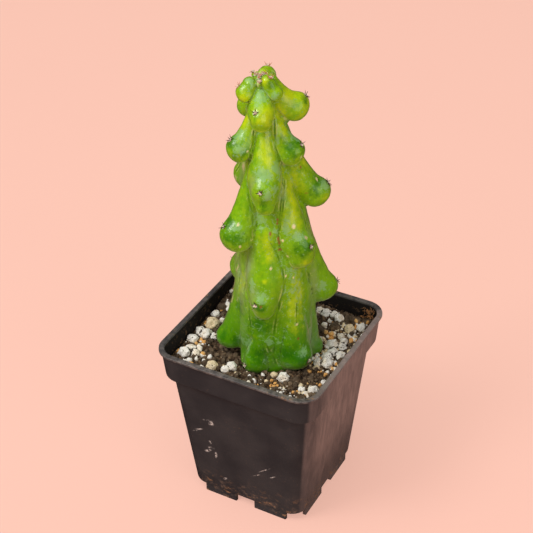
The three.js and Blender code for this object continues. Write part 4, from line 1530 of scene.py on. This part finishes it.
# Small grains that lie loose on the soil: place, radius and kind.
GRAINS = [
    (-31.8, 4.2, 1.8, "perlite"), (-32.5, -14, 1.4, "baked_clay"), (-35.1, -17, 1.0, "baked_clay"),
    (-39.2, -30.6, 1.5, "pumice"), (-39.6, -26.9, 0.9, "perlite"), (-25.4, -26.1, 0.9, "perlite"),
    (-39.2, 27.2, 1.1, "perlite"), (-35.4, 16.3, 1.7, "perlite"), (-39.5, 14.4, 0.9, "baked_clay"),
    (10.8, -18.5, 1.9, "pumice"), (6.6, -22.3, 0.9, "perlite"), (2.3, -28.8, 1.0, "perlite"),
    (21.4, -27, 1.1, "perlite"), (27.6, -22.1, 1.4, "perlite"), (27.1, -4.6, 1.6, "pumice"),
    (23.1, 20.7, 1.8, "baked_clay"), (33.6, 22.4, 1.5, "baked_clay"),
    (36.1, 36.4, 1.4, "baked_clay"), (10.5, 36.6, 1.2, "baked_clay"),
    (28.2, 35.2, 2.2, "peat_crumb"), (30.6, 35.6, 1.8, "peat_crumb"),
    (25.6, 34.8, 1.7, "peat_crumb"), (25.5, 31.3, 1.1, "perlite"), (17.6, 30.2, 1.1, "perlite"),
    (19.6, 16.8, 1.5, "perlite"), (15.4, 23.4, 0.9, "perlite"), (12.3, 25.6, 0.9, "perlite"),
    (22.3, 26.6, 2.7, "peat_crumb"), (22.6, 9, 1.0, "perlite"), (35.6, -12.9, 1.4, "perlite"),
    (13.2, -26.6, 0.8, "baked_clay"), (14.4, -24.2, 0.8, "baked_clay"),
    (16.1, -25.2, 0.7, "baked_clay"), (15.4, -27.1, 0.8, "baked_clay"),
    (12.8, -25.2, 0.7, "baked_clay"), (33.2, -6.3, 1.1, "baked_clay"),
]

# Where more grains are strewn: middle, half sizes, how many, and the share of each kind.
STREWN = [
    ((29, 12), (9.5, 18), 230, (0.5, 0.3, 0.2)),
    ((28, 31), (11, 7), 60, (0.45, 0.25, 0.3)),
    ((-34, -14), (6, 14), 70, (0.6, 0.15, 0.25)),
    ((-34, -29), (6, 6), 26, (0.6, 0.15, 0.25)),
    ((-34, 18), (6, 18), 22, (0.6, 0.1, 0.3)),
    ((0, -30), (30, 8), 70, (0.5, 0.2, 0.3)),
    ((26, -28), (13, 9), 60, (0.6, 0.15, 0.25)),
    ((0, 0), (39, 39), 90, (0.5, 0.2, 0.3)),
]
CRUMB_COUNT = 900
FIBRES = 110
WALL_ROOTS = 36

# Room for loose grains: gaps to the stem and the wall as shares of the grain's radius, where
# the round corners start, and their radius.
STEM_GAP = 0.7
WALL_GAP = 1.2
CORNER_AT = 33
CORNER_ROOM = 8

# Kinds of loose grain, each made into a piece of its own, and a slot named for each that is not
# used.
GRAIN_SLOTS = {
    "perlite": "perlite", "pumice": "pumice", "baked_clay": "pumice", "peat_crumb": "soil"
}

# The inner wall where roots cling to it: stretch along it and heights.
ROOT_STRETCH = (30, 39)
ROOT_LOW = 86.2
ROOT_HIGH = 93.2


def add_pebble(bm, place, radius, detail, draws):
    """A rough pebble: a ball that is stretched, turned and dented at random."""
    ball = bmesh.ops.create_icosphere(bm, subdivisions=detail, radius=radius)["verts"]
    stretch = Matrix.Diagonal(draws.uniform(0.75, 1.25, 3)).to_3x3()
    turn = Matrix.Rotation(draws.uniform(0, 2 * math.pi), 3, Vector(draws.normal(size=3)))
    shift = Vector(draws.uniform(-50, 50, 3))
    for vertex in ball:
        dent = 1 + 0.35 * noise.noise(vertex.co / (0.8 * radius) + shift)
        dent += 0.12 * noise.noise(vertex.co / (0.3 * radius) - shift)
        vertex.co = turn @ (stretch @ vertex.co) * dent + Vector(place)


def stone_cover():
    """Search tree of the CAD stones, to keep loose grains off them."""
    bm = bmesh.new()
    for node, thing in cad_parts.items():
        if node.startswith(("perlite", "pumice")):
            bm.from_mesh(thing.data)
    tree = bvhtree.BVHTree.FromBMesh(bm)
    bm.free()
    return tree


def free_places(wanted, cover):
    """The wanted places that are clear of the stem, the wall and the stones, with their height."""
    wanted = np.array(wanted, float)
    x, y, radius = wanted[:, 0], wanted[:, 1], wanted[:, 2]
    z = soil_height(x, y) + soil_lumps(x, y)
    clear = plant_distance(to_cactus_frame(x, y, z)) > STEM_GAP * radius
    reach = WALL_GAP * radius
    past_x, past_y = np.maximum(np.abs(x) - CORNER_AT, 0), np.maximum(np.abs(y) - CORNER_AT, 0)
    clear &= np.maximum(np.abs(x), np.abs(y)) + reach < wall_half(SOIL_EDGE)
    clear &= np.hypot(past_x, past_y) + reach < CORNER_ROOM
    for i in np.nonzero(clear)[0]:
        hit = cover.ray_cast(Vector((x[i], y[i], 200)) * MM, Vector((0, 0, -1)))[0]
        clear[i] = hit is None
    return [(x[i], y[i], z[i], radius[i], i) for i in np.nonzero(clear)[0]]


def strewn_grains(draws):
    """Place, radius and kind of the grains that are strewn at random."""
    for middle, half, count, shares in STREWN:
        for _ in range(count):
            x, y = np.array(middle) + draws.uniform(-1, 1, 2) * half
            kind = ("perlite", "pumice", "baked_clay")[draws.choice(3, p=shares)]
            yield x, y, 0.35 + 1.1 * draws.random() ** 2.2, kind


def strewn_crumbs(draws):
    """The same for crumbs of peat."""
    for _ in range(CRUMB_COUNT):
        place = draws.uniform(-CRUMB_SPREAD, CRUMB_SPREAD, 2)
        yield *place, 0.5 + 1.2 * draws.random() ** 2, "peat_crumb"


def make_grains():
    draws = np.random.default_rng(41)
    cover = stone_cover()
    materials = stone_materials()
    grains = GRAINS + list(strewn_grains(draws))
    grains += strewn_crumbs(draws)
    heaps = {kind: bmesh.new() for kind in GRAIN_SLOTS}
    for x, y, z, radius, i in free_places([grain[:3] for grain in grains], cover):
        detail = 3 if i < len(GRAINS) else 2
        add_pebble(heaps[grains[i][3]], (x, y, z + 0.25 * radius), radius, detail, draws)
    for kind, bm in heaps.items():
        smooth = kind != "peat_crumb"
        add_scaled_piece("loose_" + kind, bm, materials[kind], smooth)
    make_fibres(draws, cover)
    make_wall_roots()


def fibre_material(name, light):
    s = Recipe(name, light)
    shade = s.pattern("fibre_shade")
    s.lay(bpy.context.scene.soil_settings.peat, shade)
    return s.finish(s.fade("fibre_roughness", shade))


def make_fibres(draws, cover):
    """Thin bits of root and bark that lie on the soil."""
    bm = bmesh.new()
    wanted = [(*draws.uniform(-39, 39, 2), 1.5) for _ in range(FIBRES)]
    for x, y, z, _, _ in free_places(wanted, cover):
        turn = draws.uniform(0, 2 * math.pi)
        tilt = draws.uniform(-0.1, 0.25)
        direction = Vector((math.cos(turn), math.sin(turn), tilt)).normalized()
        length = draws.uniform(1.5, 4.5)
        add_cone(bm, (x, y, z + 0.15), direction, length, draws.uniform(0.12, 0.28), 5)
    material = fibre_material("bark_fibres", bpy.context.scene.soil_settings.fibre)
    add_scaled_piece("bark_fibres", bm, material, smooth=False)


def on_back_wall(along, z):
    """Place on the inner back wall, which bends into the right corner, and its direction."""
    half = wall_half(z) - 0.4
    corner = RIM_CORNER - RIM_WIDTH
    angle = max(along - (half - corner), 0) / corner
    x = min(along, half - corner) + corner * math.sin(angle)
    place = Vector((x, half - corner * (1 - math.cos(angle)), z))
    return place, Vector((math.cos(angle), -math.sin(angle), 0))


def make_wall_roots():
    """Roots that cling to the inner wall at the back right corner."""
    draws = np.random.default_rng(61)
    bm = bmesh.new()
    for _ in range(WALL_ROOTS):
        along, z = draws.uniform(*ROOT_STRETCH), draws.uniform(ROOT_LOW, 92.5)
        heading = draws.uniform(0, 2 * math.pi)
        for _ in range(3):
            place, sideways = on_back_wall(along, z)
            heading += draws.uniform(-0.8, 0.8)
            direction = sideways * math.cos(heading) + Vector((0, 0, math.sin(heading)))
            add_cone(bm, place, direction, 1.3, draws.uniform(0.16, 0.3), 5)
            along += math.cos(heading)
            z = min(max(z + math.sin(heading), ROOT_LOW), ROOT_HIGH)
    material = fibre_material("wall_roots", bpy.context.scene.soil_settings.root)
    add_scaled_piece("wall_roots", bm, material, smooth=False)


# Settings, operators and panel.


def colour_setting(name, description, colour):
    """A colour property whose default is given as it looks on a screen."""
    return bpy.props.FloatVectorProperty(
        name=name,
        description=description,
        subtype="COLOR",
        size=3,
        min=0,
        max=1,
        default=screen_colour(*colour),
    )


class CactusSettings(bpy.types.PropertyGroup):
    """Sizes and colours of the cactus."""

    spine_length: bpy.props.FloatProperty(
        name="Spine length",
        description="Length of the longest spines",
        default=0.0019,
        unit="LENGTH",
    )
    mid_green: colour_setting("Mid green", "Usual green of the skin", (106, 162, 0))
    bright_green: colour_setting("Bright green", "Fresh green patches", (128, 186, 0))
    fresh_green: colour_setting("Fresh green", "Streaks along the ribs", (150, 204, 8))
    foot_green: colour_setting("Foot green", "Old skin near the soil", (86, 152, 0))
    # Yellow of the skin, also used for the painted highlight on the lobes' upper crests.
    yellow_green_and_highlight: colour_setting("Yellow green", "Upper crest of the lobes, with painted highlight", (206, 228, 0))
    deep_green: colour_setting("Deep green", "Skin round the areoles", (40, 112, 0))
    # Pale wax bloom, also used for the painted sheen on the bulbs.
    wax_and_sheen: colour_setting("Wax", "Pale bloom in the valleys and painted sheen on the bulbs", (150, 198, 132))
    film: colour_setting("Film", "Dull film between the lobes", (152, 162, 112))
    edge_sheen: colour_setting("Edge sheen", "Pale light on turned-away edges", (255, 226, 190))
    # Dark crease lines, and painted shade under the bulbs.
    crease_and_shade_green: colour_setting("Crease", "Dark line where lobes meet, and painted shade under bulbs", (48, 90, 6))
    pale_rim: colour_setting("Pale rim", "Banks beside the furrows", (200, 214, 124))
    cork: colour_setting("Cork", "Dry beige edges", (198, 188, 136))
    scar: colour_setting("Scar", "Brown scars", (158, 88, 44))
    cream: colour_setting("Cream", "Pale spots", (238, 228, 170))
    spine_dark: colour_setting("Dark spines", "Old spines", (38, 22, 20))
    spine_red: colour_setting("Red spines", "Older spines here and there", (106, 62, 42))
    spine_young: colour_setting("Young spines", "Spines at the crown", (206, 138, 100))
    wool: colour_setting("Wool", "Tufts at the foot of the spines", (255, 246, 226))


class PotSettings(bpy.types.PropertyGroup):
    """Colours of the pot."""

    plastic: colour_setting("Plastic", "Moulded plastic", (54, 52, 54))
    faded_plastic: colour_setting("Faded plastic", "Plastic where it has faded", (66, 64, 65))
    # Painted shade inside the pot, laid over the inner wall's plastic.
    shaded_inner_wall: colour_setting("Inner wall", "Inner wall darkened by painted shade", (32, 27, 24))
    # Painted reflection of the pink floor on the pot's right side.
    side_reflection: colour_setting("Side reflection", "Painted reflection of the floor on the right side", (174, 151, 143))
    dust: colour_setting("Dust", "Dried soil and dust", (132, 110, 92))
    rim_dust: colour_setting("Rim dust", "Dust on top of the rim", (128, 119, 113))
    grime: colour_setting("Grime", "Brown specks of dried soil", (148, 114, 84))
    scuff: colour_setting("Scuff", "Whitened scratches", (206, 202, 196))


class SoilSettings(bpy.types.PropertyGroup):
    """Colours of the soil and its grains."""

    # Painted shade between the crumbs of the soil.
    shaded_peat: colour_setting("Dark peat", "Painted shade in the hollows between crumbs", (34, 27, 20))
    peat: colour_setting("Peat", "Crumbly peat", (90, 71, 54))
    # Dry peat, also used as the painted highlight on the crumbs' tops.
    dry_and_lit_peat: colour_setting("Dry peat", "Dry tops of the crumbs, with painted highlight", (158, 132, 102))
    fibre: colour_setting("Fibre", "Bark and root fibres", (140, 100, 62))
    root: colour_setting("Root", "Roots on the inner wall", (216, 150, 92))
    grit: colour_setting("Grit", "Tiny pale grains", (222, 204, 176))
    perlite: colour_setting("Perlite", "White grains", (255, 250, 240))
    pumice: colour_setting("Pumice", "Tan stones", (244, 224, 184))
    # Soil colour, also used as painted shade in the stones' hollows.
    stone_dirt_and_shade: colour_setting("Stone dirt", "Soil and painted shade in the hollows of the stones", (66, 50, 38))
    orange: colour_setting("Orange grit", "Orange grains of baked clay", (240, 182, 106))


class StageSettings(bpy.types.PropertyGroup):
    """Floor, light and camera."""

    floor: colour_setting("Floor", "Plain pale floor", (253, 200, 182))
    key_strength: bpy.props.FloatProperty(
        name="Key light", description="Strength of the main light", default=1.29
    )
    softbox_power: bpy.props.FloatProperty(
        name="Softbox",
        description="Power of the softbox at the upper left",
        default=4.6,
        unit="POWER",
    )
    fill_power: bpy.props.FloatProperty(
        name="Fill light", description="Power of the fill light", default=1.9, unit="POWER"
    )
    world_strength: bpy.props.FloatProperty(
        name="Room light", description="Strength of the light all round", default=0.32
    )


class PieceOperator:
    """What all operators of this file share."""

    bl_options = {"REGISTER", "UNDO"}

    def execute(self, context):
        self.build()
        return {"FINISHED"}


class CACTUS_OT_skin(PieceOperator, bpy.types.Operator):
    """Builds the skin of the cactus"""

    bl_idname = "cactus.skin"
    bl_label = "Cactus skin"

    def build(self):
        make_cactus_skin()


class CACTUS_OT_spines(PieceOperator, bpy.types.Operator):
    """Builds the spines and the wool of the areoles"""

    bl_idname = "cactus.spines"
    bl_label = "Spines and wool"

    def build(self):
        make_spines()


class CACTUS_OT_pot(PieceOperator, bpy.types.Operator):
    """Builds the square pot"""

    bl_idname = "cactus.pot"
    bl_label = "Nursery pot"

    def build(self):
        make_pot()


class CACTUS_OT_soil(PieceOperator, bpy.types.Operator):
    """Builds the bed of soil"""

    bl_idname = "cactus.soil"
    bl_label = "Soil"

    def build(self):
        make_soil()


class CACTUS_OT_heaps(PieceOperator, bpy.types.Operator):
    """Builds the perlite and pumice stones"""

    bl_idname = "cactus.heaps"
    bl_label = "Stones"

    def build(self):
        make_heaps()


class CACTUS_OT_grains(PieceOperator, bpy.types.Operator):
    """Strews the loose grains, crumbs and fibres on the soil"""

    bl_idname = "cactus.grains"
    bl_label = "Loose grains"

    def build(self):
        make_grains()


# The stage: floor, lights and camera, in metres.
FLOOR_HALF = 6
FLOOR_DARKER = 0.985
FLOOR_SHADE = (0.42, 0.42, 0.42)
FLOOR_GLOW = 0.64
LIGHT_TARGET = (0, 0, 0.12)
KEY_PLACE = (-0.25, -0.5, 1.15)
SOFTBOX_PLACE = (-0.42, -0.66, 1.05)
FILL_PLACE = (0.85, -0.35, 0.5)
CAMERA_PLACE = (0.249237, -0.456615, 0.496840)
CAMERA_AHEAD = Vector((-0.39618705, 0.71764635, -0.5727299))
CAMERA_RIGHT = Vector((0.87922681, 0.47626623, -0.01143219))
CAMERA_LENS = 88.05
SENSOR_WIDTH = 36
KEY_SPREAD = math.radians(75)
SOFTBOX_SIZE = 0.4
FILL_SIZE = 0.7
ROOM_COLOUR = (1, 0.96, 0.93, 1)


def aim(thing, place, target):
    thing.location = place
    thing.rotation_euler = (Vector(target) - Vector(place)).to_track_quat("-Z", "Y").to_euler()


def add_light(kind, name, power, place):
    """Adds a light that points at the middle of the plant."""
    light = bpy.data.lights.new(name, kind)
    light.energy = power
    aim(add_object(name, light), place, LIGHT_TARGET)
    return light


def floor_material():
    settings = bpy.context.scene.stage_settings
    s = Recipe("studio_floor", settings.floor)
    tone = s.noise(*FLOOR_TONE)
    floor = s.mix(tone, settings.floor, tuple(FLOOR_DARKER * channel for channel in settings.floor))
    s.colour = s.mix(1.0, floor, FLOOR_SHADE, "MULTIPLY")
    return s.finish(
        s.fade("floor_roughness", tone),
        Specular_IOR_Level=0.1,
        Emission_Color=floor,
        Emission_Strength=FLOOR_GLOW,
    )


class CACTUS_OT_stage(PieceOperator, bpy.types.Operator):
    """Lays the floor and sets the light and the camera"""

    bl_idname = "cactus.stage"
    bl_label = "Stage"

    def build(self):
        settings = bpy.context.scene.stage_settings
        bm = bmesh.new()
        bmesh.ops.create_grid(bm, x_segments=1, y_segments=1, size=FLOOR_HALF)
        mesh = as_mesh("studio_floor", bm)
        mesh.materials.append(floor_material())
        floor = add_object("studio_floor", mesh)
        floor.visible_glossy = False
        add_light("SUN", "key", settings.key_strength, KEY_PLACE).angle = KEY_SPREAD
        add_light("AREA", "softbox", settings.softbox_power, SOFTBOX_PLACE).size = SOFTBOX_SIZE
        add_light("AREA", "fill", settings.fill_power, FILL_PLACE).size = FILL_SIZE
        world = bpy.data.worlds.new("studio")
        world.use_nodes = True
        background = world.node_tree.nodes["Background"]
        background.inputs["Color"].default_value = ROOM_COLOUR
        background.inputs["Strength"].default_value = settings.world_strength
        world.cycles_visibility.glossy = False
        bpy.context.scene.world = world
        bpy.context.scene.view_settings.view_transform = "Standard"
        add_camera()


def add_camera():
    """Sets the camera where the photograph was taken from, for a square picture."""
    data = bpy.data.cameras.new("camera")
    data.lens = CAMERA_LENS
    data.sensor_width = SENSOR_WIDTH
    data.clip_start = 0.01
    camera = add_object("camera", data)
    up = CAMERA_RIGHT.cross(CAMERA_AHEAD)
    turn = Matrix((CAMERA_RIGHT, up, -CAMERA_AHEAD)).transposed().to_4x4()
    camera.matrix_world = Matrix.Translation(CAMERA_PLACE) @ turn
    bpy.context.scene.camera = camera


OPERATORS = [
    CACTUS_OT_skin,
    CACTUS_OT_spines,
    CACTUS_OT_pot,
    CACTUS_OT_soil,
    CACTUS_OT_heaps,
    CACTUS_OT_grains,
    CACTUS_OT_stage,
]


class CACTUS_PT_panel(bpy.types.Panel):
    """Lists the operators of the cactus"""

    bl_label = "Potted cactus"
    bl_space_type = "VIEW_3D"
    bl_region_type = "UI"
    bl_category = "Cactus"

    def draw(self, context):
        for operator in OPERATORS:
            self.layout.operator(operator.bl_idname)


SETTINGS = {
    "cactus_settings": CactusSettings,
    "pot_settings": PotSettings,
    "soil_settings": SoilSettings,
    "stage_settings": StageSettings,
}


def register():
    for kind in [*SETTINGS.values(), *OPERATORS, CACTUS_PT_panel]:
        bpy.utils.register_class(kind)
    for name, kind in SETTINGS.items():
        setattr(bpy.types.Scene, name, bpy.props.PointerProperty(type=kind))


def unregister():
    for name in SETTINGS:
        delattr(bpy.types.Scene, name)
    for kind in reversed([*SETTINGS.values(), *OPERATORS, CACTUS_PT_panel]):
        bpy.utils.unregister_class(kind)


def main():
    register()
    bpy.ops.cactus.skin()
    bpy.ops.cactus.spines()
    bpy.ops.cactus.pot()
    bpy.ops.cactus.soil()
    bpy.ops.cactus.heaps()
    bpy.ops.cactus.grains()
    bpy.ops.cactus.stage()


if __name__ == "__main__":
    main()
